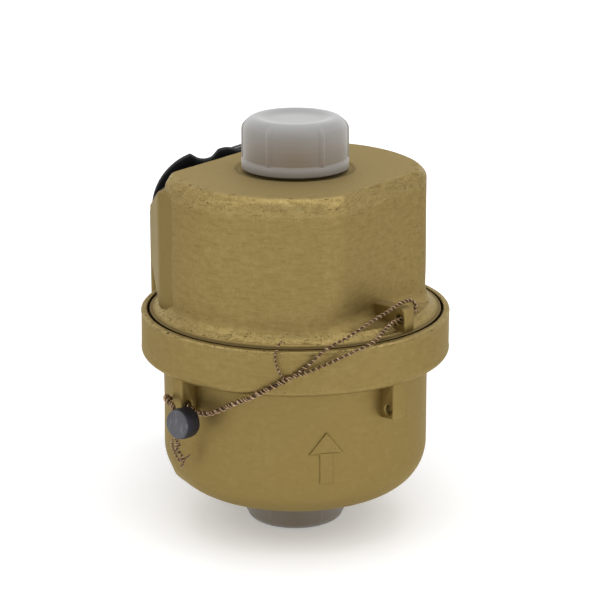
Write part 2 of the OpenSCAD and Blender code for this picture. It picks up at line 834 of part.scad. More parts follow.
module register_housing() {
    outer = knuckle_l / 2 + knuckle_gap;
    color(black) difference() {
        union() {
            slab(y_reg, y_reg + rim_t) lobed_outline();
            dial_tube(can_r, y_reg, y_can_end);
            dial_tube(snout_r, snout_y, y_floor, 0, z_neck);
            for (z0 = [z_mid + outer, z_mid - outer - knuckle_l]) {
                hinge_barrel(z0, z0 + knuckle_l);
                register_frame() translate([can_r - 2, y_can_end - 6, z0])
                    cube([hinge_x - can_r + 2, 6, knuckle_l]);
                register_frame() translate([can_r + 0.5, y_can_end - 1, z0])
                    cube([hinge_x - can_r - 0.5, bezel_t, knuckle_l]);
            }
        }
        dial_tube(can_in_r, y_floor, y_can_end + 1);
        dial_tube(seat_r, y_dial, y_can_end + 1);
        dial_tube(snout_in_r, snout_y + snout_wall, y_floor + 1, 0, z_neck);
        hinge_bore(running_fit);
        register_frame() for (sx = [-1, 1], sz = [-1, 1])
            translate([sx * screw_x, y_reg - 1, z_mid + sz * screw_z]) rotate([-90, 0, 0])
                cylinder(r = screw_r, h = 5, $fn = 32);
    }
}

module register_screws() {
    color(steel) register_frame() for (sx = [-1, 1], sz = [-1, 1])
        translate([sx * screw_x, pad_y, z_mid + sz * screw_z]) rotate([-90, 0, 0]) {
            cylinder(r = screw_r - 0.05, h = pad_t + reg_gasket_t + 3.6, $fn = 32);
            translate([0, 0, -1.8]) difference() {
                cylinder(r = 3.4, h = 1.8, $fn = 48);
                translate([0, 0, -0.1]) cylinder(r = 1.5, h = 1.1, $fn = 6);
            }
        }
}

// Plate on the housing floor with two cheeks that carry the arbors and an arm for the axle
module movement_frame() {
    z_arm = z_wheels_end - 0.4 - 2;
    cheek_y = follower_y - 3;
    hole = pivot_r + running_fit;
    cheek_w = cheek_half + idler_x + hole + 0.75;
    color(cream) difference() {
        union() {
            intersection() {
                register_frame() translate([-frame_half_w, y_floor, z_arm])
                    cube([2 * frame_half_w, frame_t, z_neck + dz_upper + cheek_t - z_arm]);
                dial_tube(can_in_r - 0.4, y_floor - 1, y_floor + frame_t + 1);
            }
            register_frame() translate([-cheek_half, cheek_y, z_neck + dz_upper])
                cube([cheek_w, y_axle + 4 - cheek_y, cheek_t]);
            register_frame() translate([-cheek_half, cheek_y, z_neck + dz_lower])
                cube([cheek_w, y_floor + frame_t - cheek_y, cheek_t]);
            register_frame() translate([-cheek_half, y_floor, z_arm])
                cube([2 * cheek_half, y_axle + 4 - y_floor, 2]);
        }
        register_frame() translate([-frame_half_w - 1, y_floor - 1, z_neck + dz_lower + cheek_t])
            cube([frame_half_w + 1 + idler_x + idler_tip + 0.6, frame_t + 2, dz_upper - dz_lower - cheek_t]);
        for (p = [[0, follower_y], [0, transfer_y], [idler_x, idler_y]])
            arbor(p[0], p[1], z_neck + dz_lower - 1, z_neck + dz_upper + cheek_t + 1, hole);
        arbor(0, y_axle, z_arm - 1, z_neck + far, axle_r);
    }
}

module follower_arbor() {
    color(steel) {
        arbor(0, follower_y, z_neck + dz_lower, z_neck + dz_upper + cheek_t, pivot_r);
        arbor(0, follower_y, z_neck + dz_lower + cheek_t + 0.3, z_neck - follower_h / 2, pivot_r + 1.2);
        gear_at(0, follower_y, dz_first, follower_teeth);
    }
}

module follower_magnet() {
    color([0.25, 0.25, 0.27]) difference() {
        arbor(0, follower_y, z_neck - follower_h / 2, z_neck + follower_h / 2, follower_r);
        arbor(0, follower_y, z_neck - far / 2, z_neck + far / 2, pivot_r + running_fit);
    }
}

module transfer_arbor() {
    color(cream) {
        arbor(0, transfer_y, z_neck + dz_lower, z_neck + dz_upper + cheek_t, pivot_r);
        gear_at(0, transfer_y, dz_first, transfer_teeth, mesh_turn(follower_teeth, 0, transfer_teeth, 90));
        gear_at(0, transfer_y, dz_second, second_teeth);
    }
}

module idler_gear() {
    color(cream) {
        arbor(idler_x, idler_y, z_neck + dz_lower, z_neck + dz_upper + cheek_t, pivot_r);
        gear_at(idler_x, idler_y, dz_second, idler_teeth, idler_turn);
    }
}

module number_axle() {
    color(steel) arbor(0, y_axle, z_wheels_end - 0.4 - 2, z_neck + dz_upper + cheek_t, axle_r);
}

module number_wheel(i) {
    z1 = z_wheels - (i - 1) * wheel_pitch;
    color([0.92, 0.92, 0.90]) difference() {
        union() {
            arbor(0, y_axle, z1 - number_w, z1, number_r);
            if (i == 1) gear_at(0, y_axle, dz_second, number_teeth, number_turn);
            if (i == 1) arbor(0, y_axle, z1 - 1, z_neck + dz_second + gear_w, axle_r + 1.5);
        }
        arbor(0, y_axle, z1 - number_w - 1, z_neck + far, axle_r + running_fit);
    }
}

module dial_plate() {
    window_half = 4.4;
    color([0.93, 0.93, 0.91]) slab(y_dial, y_dial + dial_t) difference() {
        circle(r = disc_r);
        translate([-window_half, z_wheels_end - z_mid]) square([2 * window_half, wheels * wheel_pitch]);
    }
}

module glass_seal() {
    color(rubber) dial_tube(disc_r, y_dial + dial_t, y_glass, disc_r - 2);
}

module register_glass() {
    color([0.80, 0.88, 0.88]) dial_tube(disc_r, y_glass, y_glass + glass_t);
}

module register_bezel() {
    color(black) difference() {
        union() {
            dial_tube(can_r, y_can_end, y_bezel_end);
            dial_tube(disc_r, y_glass + glass_t, y_can_end + 0.5);
        }
        dial_tube(disc_r - 3, y_glass, y_bezel_end + 1);
    }
}

module register_lid() {
    tab = 5;
    color(black) difference() {
        union() {
            dial_tube(can_r, y_lid, y_lid + lid_t);
            hinge_barrel(z_mid - knuckle_l / 2, z_mid + knuckle_l / 2);
            register_frame() translate([can_r - 3, y_lid, z_mid - knuckle_l / 2])
                cube([hinge_x - can_r + 3, lid_t, knuckle_l]);
            register_frame() translate([-can_r - 2, y_lid, z_mid - tab]) cube([6, lid_t, 2 * tab]);
        }
        hinge_bore(running_fit);
    }
}

module lid_hinge_pin() {
    reach = knuckle_l * 1.5 + knuckle_gap + 0.6;
    color(steel) register_frame() translate([hinge_x, hinge_y, z_mid - reach])
        cylinder(r = hinge_r, h = 2 * reach, $fn = 48);
}

lower_casing();
upper_casing();
casing_gasket();
inlet_cap();
outlet_cap();
inlet_strainer();
measuring_chamber();
partition_plate();
chamber_cover();
cover_seal();
rotary_piston();
drive_crank();
drive_magnet();
seal_wire();
lead_seal();
register_gasket();
register_housing();
register_screws();
movement_frame();
follower_arbor();
follower_magnet();
transfer_arbor();
idler_gear();
number_axle();
number_wheel(1);  // number_wheel_1
number_wheel(2);  // number_wheel_2
number_wheel(3);  // number_wheel_3
number_wheel(4);  // number_wheel_4
number_wheel(5);  // number_wheel_5
number_wheel(6);  // number_wheel_6
dial_plate();
glass_seal();
register_glass();
register_bezel();
register_lid();
lid_hinge_pin();
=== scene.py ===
import math

import bmesh
import bpy
from mathutils import Matrix, Vector


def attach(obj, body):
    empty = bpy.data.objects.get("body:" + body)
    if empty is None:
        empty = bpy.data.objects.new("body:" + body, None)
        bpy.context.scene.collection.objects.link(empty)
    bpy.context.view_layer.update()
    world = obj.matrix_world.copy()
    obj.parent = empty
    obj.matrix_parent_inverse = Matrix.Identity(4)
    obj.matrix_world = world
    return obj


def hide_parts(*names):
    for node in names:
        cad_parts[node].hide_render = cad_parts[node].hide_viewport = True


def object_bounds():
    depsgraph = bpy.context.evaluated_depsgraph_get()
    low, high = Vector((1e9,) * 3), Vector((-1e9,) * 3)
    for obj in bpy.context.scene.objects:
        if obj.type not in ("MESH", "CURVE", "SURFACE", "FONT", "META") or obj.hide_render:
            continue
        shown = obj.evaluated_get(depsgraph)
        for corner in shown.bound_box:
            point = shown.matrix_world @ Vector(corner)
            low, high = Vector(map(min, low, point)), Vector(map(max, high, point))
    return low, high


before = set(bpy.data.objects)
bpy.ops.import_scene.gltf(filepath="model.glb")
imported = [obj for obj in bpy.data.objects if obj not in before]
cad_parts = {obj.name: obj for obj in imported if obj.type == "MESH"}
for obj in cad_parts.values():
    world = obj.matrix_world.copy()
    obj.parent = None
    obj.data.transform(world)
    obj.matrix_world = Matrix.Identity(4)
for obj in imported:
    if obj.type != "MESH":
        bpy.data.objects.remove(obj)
cad_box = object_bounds()

MM = 0.001
TAU = 2 * math.pi

# Sizes in millimetres, as in the part's own frame: pipe axis on Z, register at the back
THREAD_R, THREAD_ROOT_R, THREAD_PITCH = 13.22, 12.25, 1.814
BORE_R = 7.5
Z_OUTLET, Z_TOP, Z_SPOT = 115.0, 102.4, 101.8
Z_BOTTOM, Z_RING, Z_RING_TOP, Z_SEAT = 9.0, 48.4, 61.7, 59.7
SPOT_R = 17.0
LOWER_R, BOTTOM_ROUND = 38.2, 12.6
RING_R, RING_ROUND, GROOVE_R = 44.5, 2.0, 42.6
UPPER_R, RIM_ROUND, FLAT_ROUND, FLANGE_R, COVE_R = 37.8, 3.6, 1.5, 41.9, 5.0
FLAT_FOOT_Z, FOOT_R, EDGE_SOFT = 64.2, 4.0, 3.6
# Each wrench flat: distance from the pipe axis and the way that it faces
FLATS = ((30.5, math.radians(-36)), (25.5, math.radians(144)))
LUG_W, LUG_H, WIRE_HOLE_R = 4.4, 10.6, 1.25
CAP_IN_R, CAP_R, LIP_R, CAP_END, CAP_REACH = 13.87, 14.77, 15.3, 1.8, 2.35
PLUG_R, PLUG_IN_R = 7.42, 6.22
REGISTER = Matrix.Rotation(math.radians(6), 4, "Z")
Z_MID, Z_NECK = 57.5, 79.7
NECK_R, POCKET_R, POCKET_Y = 15.5, 12.3, 25.5
PAD_Y, PAD_END, REG_Y = 45.0, 47.6, 48.4
Y_AXLE, NUMBER_R, DIAL_Y = 59.9, 8.0, 69.7
CAN_R, CAN_IN_R, CAN_END, BEZEL_END = 35.4, 32.6, 74.4, 76.6
LID_Y, LID_END = 77.1, 79.3
HINGE_X, HINGE_Y, HINGE_BARREL_R, HINGE_BORE_R = 38.4, 76.6, 2.5, 1.25

SEGMENTS = 288


def linked(name, data):
    """A new object in the scene."""
    thing = bpy.data.objects.new(name, data)
    bpy.context.collection.objects.link(thing)
    return thing


# Camera

camera = linked("camera", bpy.data.cameras.new("camera"))
camera.data.sensor_width = 36
camera.data.lens = 141.2
camera.data.clip_start, camera.data.clip_end = 0.01, 20
camera.location = (0, -0.650, 0.2573)
CAMERA_PITCH, CAMERA_YAW = 0.2902, -0.0021
camera.rotation_euler = (math.pi / 2 - CAMERA_PITCH, 0, CAMERA_YAW)
bpy.context.scene.camera = camera
bpy.context.scene.view_settings.view_transform = "Standard"


# Shader maths

class Value:
    """A node's output in one node tree; arithmetic on it adds Math nodes."""

    def __init__(self, tree, socket):
        self.tree, self.socket = tree, socket

    def node(self, kind, settings=None, inputs=None, out=0):
        """Adds any node: its settings first, then the values or links of its sockets."""
        made = self.tree.nodes.new(kind)
        for key, setting in (settings or {}).items():
            setattr(made, key, setting)
        for key, given in (inputs or {}).items():
            socket = made.inputs[key]
            if isinstance(given, Value):
                self.tree.links.new(given.socket, socket)
            elif socket.type == "RGBA":
                socket.default_value = (*given, 1.0)
            else:
                socket.default_value = given
        return Value(self.tree, made.outputs[out] if made.outputs else None)

    def maths(self, operation, first, second=0.0):
        return self.node("ShaderNodeMath", {"operation": operation}, {0: first, 1: second})

    def __add__(self, other):
        return self.maths("ADD", self, other)

    def __radd__(self, other):
        return self.maths("ADD", other, self)

    def __sub__(self, other):
        return self.maths("SUBTRACT", self, other)

    def __mul__(self, other):
        return self.maths("MULTIPLY", self, other)

    def rise(self, low, high):
        """0 below low, 1 above high and smooth between them."""
        return self.node("ShaderNodeMapRange", {"interpolation_type": "SMOOTHSTEP"},
                         {"Value": self, "From Min": low, "From Max": high})

    def noise(self, scale, detail=2.0, rough=0.5):
        """Noise on a vector; the scale is in turns a metre."""
        return self.node("ShaderNodeTexNoise", None,
                         {"Vector": self, "Scale": scale, "Detail": detail, "Roughness": rough})

    def stretched(self, x, y, z, turn=(0.0, 0.0, 0.0)):
        return self.node("ShaderNodeMapping", None, {"Vector": self, "Scale": (x, y, z), "Rotation": turn})

    def blend(self, colour_0, colour_1):
        """A colour between two, by this value."""
        return self.node("ShaderNodeMix", {"data_type": "RGBA"},
                         {"Factor": self, 6: colour_0, 7: colour_1}, out=2)

    def axis(self, name):
        """One part of a vector."""
        return self.node("ShaderNodeSeparateXYZ", None, {"Vector": self}, out=name)

    def bump(self, strength, distance, under=None):
        inputs = {"Height": self, "Strength": strength, "Distance": distance}
        if under is not None:
            inputs["Normal"] = under
        return self.node("ShaderNodeBump", None, inputs)


def start_finish(name):
    """A new material with an empty tree; gives the material and its Object coordinates."""
    material = bpy.data.materials.new(name)
    material.use_nodes = True
    tree = material.node_tree
    tree.nodes.clear()
    place = Value(tree, None).node("ShaderNodeTexCoord", out="Object")
    return material, place


def end_finish(place, sockets):
    """The surface shader from its socket values, joined to the output."""
    shader = place.node("ShaderNodeBsdfPrincipled", None, sockets)
    place.node("ShaderNodeOutputMaterial", None, {"Surface": shader})


def rub_value(place):
    return place.node("ShaderNodeAttribute", {"attribute_name": "rub"}, out="Fac")


def blasted_brass():
    """Cast brass; a point's value above 0 makes it bare and worn, and at the cove and the bottom it also
    paints light; below 0 it paints shade in grooves and recesses.
    """
    material, place = start_finish("blasted_brass")
    bright = (0.365, 0.280, 0.118)
    rub = rub_value(place)
    grain = place.noise(2600, 3.0, 0.65)
    pits = place.noise(900, 2.0, 0.6)
    cloud = place.noise(45, 4.0, 0.55)
    patch = place.noise(14, 2.0)
    mottle = place.noise(520, 3.0, 0.6)
    worn = (rub * 0.9 + (place.noise(700, 4.0, 0.7) - 0.5) * 2.6 + (cloud - 0.5) * 1.1).rise(0.66, 1.2)
    fleck_zone = (rub * 1.5 + (patch - 0.5) * 1.2).rise(0.15, 0.8)
    flecks = place.stretched(0.7, 0.7, 1.9).noise(800, 4.0, 0.75).rise(0.585, 0.66) * fleck_zone
    streaks = place.stretched(1, 1, 5).noise(240, 4.0, 0.65)
    painted_shade = (rub * -1.0).rise(0.05, 0.9)
    specks = pits.rise(0.735, 0.77) * cloud.rise(0.42, 0.6)
    upward = place.node("ShaderNodeNewGeometry", out="Normal").axis("Z")
    top_face_light = upward.rise(0.85, 0.98)
    colour = cloud.blend((0.216, 0.154, 0.051), (0.258, 0.188, 0.067))
    for share, tint in (
            (patch.rise(0.35, 0.65) * 0.35, (0.260, 0.184, 0.055)),
            # Faces that look down get a lighter colour: painted light on the underside.
            (upward.rise(-0.05, -0.5) * 0.8, (0.290, 0.213, 0.073)),
            # Faces that look up get a lighter, paler colour: painted light on the top face.
            (top_face_light * 0.8, (0.298, 0.230, 0.110)),
            (mottle.rise(0.45, 0.75) * (0.14 + rub * 0.6), bright),
            (streaks.rise(0.3, 0.7) * (0.12 + rub * 0.7), (0.330, 0.248, 0.098)),
            (streaks.rise(0.5, 0.25) * rub, (0.150, 0.104, 0.034)),
            (grain.rise(0.4, 0.7) * (0.1 + rub * 0.7), (0.345, 0.262, 0.110)),
            (grain.rise(0.5, 0.3) * rub * 0.7, (0.160, 0.112, 0.038)),
            (worn * 0.6, bright),
            (flecks * 0.85, (0.050, 0.036, 0.015)),
            (specks * 0.55, (0.085, 0.060, 0.024)),
            # Painted shade: near-black where the value is below 0, in grooves, recesses and on the web.
            (painted_shade * 0.9, (0.030, 0.020, 0.010))):
        colour = share.blend(colour, tint)
    roughness = 0.52 + (cloud - 0.5) * 0.16 + (grain - 0.5) * 0.10 - worn * 0.08 + flecks * 0.3 + top_face_light * 0.2
    roughness = roughness - rub.rise(0.3, 0.6) * 0.16
    wrinkle = place.stretched(1, 1, 1.8).noise(430, 3.0, 0.6) * rub.rise(0.25, 0.6) * 9.0
    height = grain * 0.5 + pits * 0.5 + mottle * 1.2 + wrinkle - flecks * 1.5 - specks * 1.2 + worn * 0.25
    soft = cloud.bump(0.25, 0.0006)
    end_finish(place, {"Base Color": colour, "Metallic": 1.0, "Roughness": roughness,
                       "Specular Tint": (0.90, 0.84, 0.70), "Normal": height.bump(0.35, 0.00012, soft)})
    return material


def milky_plastic(name, side, sheen):
    """Milky plastic; its sides take a darker tone, partly the metal that shows through and partly painted
    shade.
    """
    material, place = start_finish(name)
    cloud = place.noise(120, 3.0)
    fine = place.noise(1500, 2.0)
    rub = rub_value(place)
    turns = place.maths("SINE", place.axis("Z") * (TAU / (THREAD_PITCH * MM)))
    seen = (turns * 0.5 + 0.5) * rub
    colour = cloud.blend((0.268, 0.268, 0.264), (0.303, 0.303, 0.300))
    # Darker sides: the metal showing through, and painted shade.
    colour = (rub * 0.9).blend(colour, side)
    colour = (seen * 0.06).blend(colour, (0.10, 0.075, 0.045))
    end_finish(place, {"Base Color": colour, "Roughness": 0.38 + (cloud - 0.5) * 0.12,
                       "Subsurface Weight": 0.25, "Subsurface Radius": (0.004, 0.0035, 0.003),
                       "Sheen Weight": sheen, "Sheen Roughness": 0.4, "Specular IOR Level": 0.45,
                       "Normal": fine.bump(0.08, 0.0001)})
    return material


def moulded_plastic(name, dark, light, roughness, grain=900, shine=0.5):
    """Moulded plastic with a fine texture and slow changes of tone and gloss."""
    material, place = start_finish(name)
    cloud = place.noise(60, 4.0)
    fine = place.noise(grain, 3.0, 0.6)
    end_finish(place, {"Base Color": cloud.blend(dark, light),
                       "Roughness": roughness + (cloud - 0.5) * 0.2 + (fine - 0.5) * 0.08,
                       "Specular IOR Level": shine, "Normal": fine.bump(0.12, 0.0001)})
    return material


def turned_metal(name, dark, light, roughness, metallic=1.0):
    """Machined or sintered metal with turning marks and a few stains."""
    material, place = start_finish(name)
    marks = place.stretched(1, 1, 14).noise(420, 3.0, 0.6)
    cloud = place.noise(90, 3.0)
    end_finish(place, {"Base Color": cloud.blend(dark, light), "Metallic": metallic,
                       "Roughness": roughness + (marks - 0.5) * 0.2 + (cloud - 0.5) * 0.1,
                       "Normal": marks.bump(0.15, 0.00008)})
    return material


def clear_glass():
    material, place = start_finish("clear_glass")
    smear = place.noise(40, 3.0)
    end_finish(place, {"Base Color": (0.93, 0.97, 0.96), "Transmission Weight": 0.94, "IOR": 1.5,
                       "Roughness": 0.03 + smear.rise(0.5, 0.8) * 0.05})
    return material


def twisted_copper(name, dark, light, bright):
    material, place = start_finish(name)
    stain = place.noise(260, 3.0, 0.6)
    fine = place.noise(1800, 2.0)
    colour = stain.blend(dark, light)
    # Small bright spots are painted glints on the turns of the wire.
    colour = fine.rise(0.52, 0.68).blend(colour, bright)
    end_finish(place, {"Base Color": colour, "Metallic": 0.85, "Roughness": 0.36 + (stain - 0.5) * 0.3,
                       "Normal": fine.bump(0.3, 0.0001)})
    return material


def pressed_lead():
    material, place = start_finish("pressed_lead")
    cloud = place.noise(300, 4.0, 0.6)
    fine = place.noise(1400, 3.0, 0.65)
    scrape = place.stretched(300, 1800, 300, (0.3, 0.2, 0.5)).noise(1.0, 2.0)
    colour = cloud.blend((0.052, 0.052, 0.060), (0.118, 0.118, 0.128))
    colour = (scrape.rise(0.58, 0.72) * 0.4).blend(colour, (0.22, 0.22, 0.24))
    # Where the value is high, on the side, the lead is painted near-black: painted shade on the edge.
    colour = (rub_value(place) * 0.92).blend(colour, (0.012, 0.010, 0.015))
    height = cloud * 0.6 + fine * 0.4
    end_finish(place, {"Base Color": colour, "Metallic": 0.55, "Roughness": 0.5 + (fine - 0.5) * 0.25,
                       "Normal": height.bump(0.45, 0.0002)})
    return material


def printed_ink(name, colour, faded):
    material, place = start_finish(name)
    wear = place.noise(700, 3.0)
    end_finish(place, {"Base Color": wear.blend(colour, faded), "Roughness": 0.5 + (wear - 0.5) * 0.2})
    return material


BRASS = blasted_brass()
MILKY = milky_plastic("milky_plastic", (0.222, 0.172, 0.116), 0.4)
# A darker copy of the milky plastic for the inlet cap: painted shade.
MILKY_SHADED = milky_plastic("milky_plastic_shaded", (0.168, 0.131, 0.084), 0.05)
BLACK = moulded_plastic("black_plastic", (0.002, 0.002, 0.002), (0.005, 0.005, 0.005), 0.5, 700, 0.03)
BLACK_GLOSS = moulded_plastic("black_gloss", (0.005, 0.005, 0.005), (0.011, 0.011, 0.012), 0.32, 700, 0.35)
RUBBER = moulded_plastic("gasket_rubber", (0.012, 0.012, 0.012), (0.030, 0.029, 0.028), 0.75, 1500)
CREAM = moulded_plastic("cream_plastic", (0.62, 0.58, 0.49), (0.72, 0.69, 0.60), 0.42)
DARK_PISTON = moulded_plastic("piston_plastic", (0.030, 0.030, 0.034), (0.055, 0.055, 0.060), 0.40)
WHITE = moulded_plastic("white_plastic", (0.74, 0.74, 0.71), (0.82, 0.82, 0.80), 0.40)
STEEL = turned_metal("turned_steel", (0.42, 0.42, 0.42), (0.56, 0.56, 0.56), 0.34)
MAGNET = turned_metal("sintered_magnet", (0.045, 0.045, 0.050), (0.085, 0.085, 0.092), 0.6, 0.6)
GLASS = clear_glass()
COPPER = twisted_copper("twisted_copper", (0.20, 0.122, 0.062), (0.42, 0.285, 0.165), (0.62, 0.47, 0.32))
# Dark copper for a core inside the winding: painted shade in the gaps between the turns.
COPPER_GAP_SHADE = twisted_copper("copper_gap_shade", (0.050, 0.030, 0.016), (0.110, 0.068, 0.036),
                             (0.200, 0.125, 0.070))
LEAD = pressed_lead()
INK = printed_ink("black_ink", (0.012, 0.012, 0.014), (0.030, 0.030, 0.033))
RED_INK = printed_ink("red_ink", (0.42, 0.030, 0.022), (0.50, 0.055, 0.040))


# Mesh building

def new_piece(name, mesh, material):
    mesh.name = name
    mesh.materials.clear()
    mesh.materials.append(material)
    return linked(name, mesh)


def mesh_from(bm, name):
    """The mesh of a finished bmesh, which is freed."""
    mesh = bpy.data.meshes.new(name)
    bm.to_mesh(mesh)
    bm.free()
    return mesh


def made_mesh(thing):
    """A plain mesh of an object with its curve shape or modifiers; the object is removed."""
    bpy.context.view_layer.update()
    graph = bpy.context.evaluated_depsgraph_get()
    mesh = bpy.data.meshes.new_from_object(thing.evaluated_get(graph), depsgraph=graph)
    bpy.data.objects.remove(thing)
    return mesh


def add_line(curve, points):
    """Adds a line through the points to a curve."""
    line = curve.splines.new("POLY")
    line.points.add(len(points) - 1)
    for point, spot in zip(line.points, points):
        point.co = (*spot, 1)
    return line


def plate_mesh(outlines, depth, bevel):
    """A plate with rounded edges from closed outlines; the first is the outside, the rest are holes."""
    curve = bpy.data.curves.new("outline", "CURVE")
    curve.dimensions, curve.fill_mode = "2D", "BOTH"
    curve.extrude, curve.bevel_depth, curve.bevel_resolution = depth / 2 - bevel, bevel, 3
    curve.offset = -bevel
    for points in outlines:
        add_line(curve, [(x, y, 0) for x, y in points]).use_cyclic_u = True
    return made_mesh(linked("outline", curve))


def text_mesh(words, height, depth):
    curve = bpy.data.curves.new("figure", "FONT")
    curve.body, curve.size, curve.extrude = words, height, depth / 2
    curve.align_x, curve.align_y = "CENTER", "CENTER"
    curve.resolution_u = 3
    return made_mesh(linked("figure", curve))


class Shell:
    """Closed skins in millimetres, gathered into one mesh with a value at each point for wear and for painted
    light and shade.
    """

    def __init__(self):
        self.bm = bmesh.new()
        self.rub = self.bm.verts.layers.float.new("rub")

    def skin(self, rings, place=Matrix.Identity(4)):
        """Joins rings of (point, value) pairs by quads, the value setting wear and painted light and shade; a
        ring of one point closes an end.
        """
        made = []
        for ring in rings:
            row = []
            for point, rub in ring:
                vert = self.bm.verts.new((place @ point) * MM)
                vert[self.rub] = rub
                row.append(vert)
            made.append(row)
        faces = []
        for low, high in zip(made, made[1:]):
            count = max(len(low), len(high))
            for i in range(count):
                j = (i + 1) % count
                corners = [low[i % len(low)], low[j % len(low)], high[j % len(high)], high[i % len(high)]]
                faces.append(self.bm.faces.new(list(dict.fromkeys(corners))))
        bmesh.ops.recalc_face_normals(self.bm, faces=faces)

    def add(self, mesh, place=Matrix.Identity(4), bend=None):
        """Takes in a mesh drawn in millimetres, bent point by point or placed by a matrix."""
        part = bmesh.new()
        part.from_mesh(mesh)
        for vert in part.verts:
            vert.co = (bend(vert.co) if bend else place @ vert.co) * MM
        bmesh.ops.remove_doubles(part, verts=part.verts, dist=0.002 * MM)
        bmesh.ops.recalc_face_normals(part, faces=part.faces)
        part.to_mesh(mesh)
        part.free()
        self.bm.from_mesh(mesh)
        bpy.data.meshes.remove(mesh)

    def piece(self, name, material, sharp=38):
        mesh = mesh_from(self.bm, name)
        mesh.shade_smooth()
        mesh.set_sharp_from_angle(angle=math.radians(sharp))
        return new_piece(name, mesh, material)


def around(shape, count=SEGMENTS):
    """A ring about Z; the shape gives radius, height and the value for wear and painted light and shade at
    each turn.
    """
    ring = []
    for i in range(count):
        turn = TAU * i / count
        r, z, rub = shape(turn)
        ring.append((Vector((r * math.cos(turn), r * math.sin(turn), z)), rub))
    return ring


def plain_ring(r, z, rub=0.0, count=SEGMENTS):
    return around(lambda turn: (r, z, rub), count)


def pole(z):
    return [(Vector((0, 0, z)), 0.0)]


def lathe(profile, count=SEGMENTS):
    """Rings for (radius, height) or (radius, height, wear and painted light value) rows; radius 0 closes an
    end.
    """
    return [plain_ring(*row, count=count) if row[0] > 0 else pole(row[1]) for row in profile]


def arc(r, z, radius, start, end, steps, rub=0.0):
    """Profile points on an arc about (r, z), in degrees from the outward direction."""
    rows = []
    for i in range(steps + 1):
        a = math.radians(start + (end - start) * i / steps)
        rows.append((r + radius * math.cos(a), z + radius * math.sin(a), rub))
    return rows


def rounded_rect(half_w, half_h, r, centre=(0, 0), steps=8):
    points = []
    for quarter, (sx, sy) in enumerate(((1, 1), (-1, 1), (-1, -1), (1, -1))):
        for i in range(steps + 1):
            a = math.radians(90 * quarter + 90 * i / steps)
            points.append((centre[0] + sx * (half_w - r) + r * math.cos(a),
                           centre[1] + sy * (half_h - r) + r * math.sin(a)))
    return points


def circle(r, centre=(0, 0), steps=40):
    """Drawn clockwise, for a hole."""
    return [(centre[0] + r * math.cos(-TAU * i / steps), centre[1] + r * math.sin(-TAU * i / steps))
            for i in range(steps)]


def soft_min(a, b, soft):
    blend = max(soft - abs(a - b), 0) / soft
    return min(a, b) - blend * blend * soft / 4


def smooth(low, high, x):
    t = min(max((x - low) / (high - low), 0), 1)
    return t * t * (3 - 2 * t)


def cast_wave(turn, z):
    """Slow unevenness of a cast wall."""
    return (0.05 * math.sin(3 * turn + z / 9) + 0.04 * math.sin(5 * turn - z / 6.5 + 1)
            + 0.03 * math.sin(z / 4 + 2))


def thread_rings(z_low, z_high, fade_low, fade_high):
    """Rings of a screwed spigot from bottom to top, with the thread fading out at both ends."""
    rings = []
    steps = int((z_high - z_low) / 0.2)
    for i in range(steps + 1):
        z = z_low + (z_high - z_low) * i / steps
        fade = smooth(z_low, z_low + fade_low, z) * smooth(z_high, z_high - fade_high, z)

        def shape(turn, z=z, fade=fade):
            phase = (z / THREAD_PITCH - turn / TAU) % 1
            crest = smooth(0.1, 0.42, phase) * smooth(0.98, 0.66, phase)
            return THREAD_ROOT_R + (THREAD_R - THREAD_ROOT_R) * crest * fade, z, 0.2 * crest
        rings.append(around(shape))
    return rings


def lug_place(angle, r, z):
    """Stands a drawn outline on the casing: x outward, y up, thickness round the casing."""
    a = math.radians(angle)
    outward, up = Vector((math.sin(a), -math.cos(a), 0)), Vector((0, 0, 1))
    place = Matrix((outward, up, outward.cross(up))).transposed().to_4x4()
    place.translation = outward * r + up * z
    return place


def lug_mesh(r0, r1, height, hole_z, taper):
    """A lug with rounded corners outside and a wire hole; its underside tapers outwards."""
    outline = [(r0, 0), (r1 - 1.4, taper * 0.6), (r1 - 0.5, taper * 0.85), (r1, taper + 0.8),
               (r1, height - 1.0), (r1 - 0.4, height - 0.25), (r1 - 1.2, height), (r0, height)]
    return plate_mesh([outline, circle(WIRE_HOLE_R, (0, hole_z), 24)], LUG_W, 0.55)


# Casings

def cove_radius(z):
    """Radius of the round upper wall, with the cove that runs out to the flange."""
    drop = Z_RING_TOP + COVE_R - z
    if drop <= 0:
        return UPPER_R
    if drop >= COVE_R:
        return FLANGE_R
    return min(UPPER_R + COVE_R - math.sqrt(COVE_R ** 2 - drop ** 2), FLANGE_R)


def flat_distance(flat_d, z):
    rise = z - FLAT_FOOT_Z
    if rise < 0:
        return 1000.0
    if rise < FOOT_R:
        return flat_d + FOOT_R - math.sqrt(FOOT_R ** 2 - (FOOT_R - rise) ** 2)
    return flat_d


def drum_radius(turn, z):
    """Radius and edge weight of the upper casing's wall, round or flat."""
    r, edge = cove_radius(z), 0.0
    for flat_d, facing in FLATS:
        lean = math.cos(turn - facing)
        if lean > 0.3:
            reach = flat_distance(flat_d, z) / lean
            edge = max(edge, 1 - abs(reach - r) / (0.5 * EDGE_SOFT))
            r = soft_min(r, reach, EDGE_SOFT)
    return r, edge


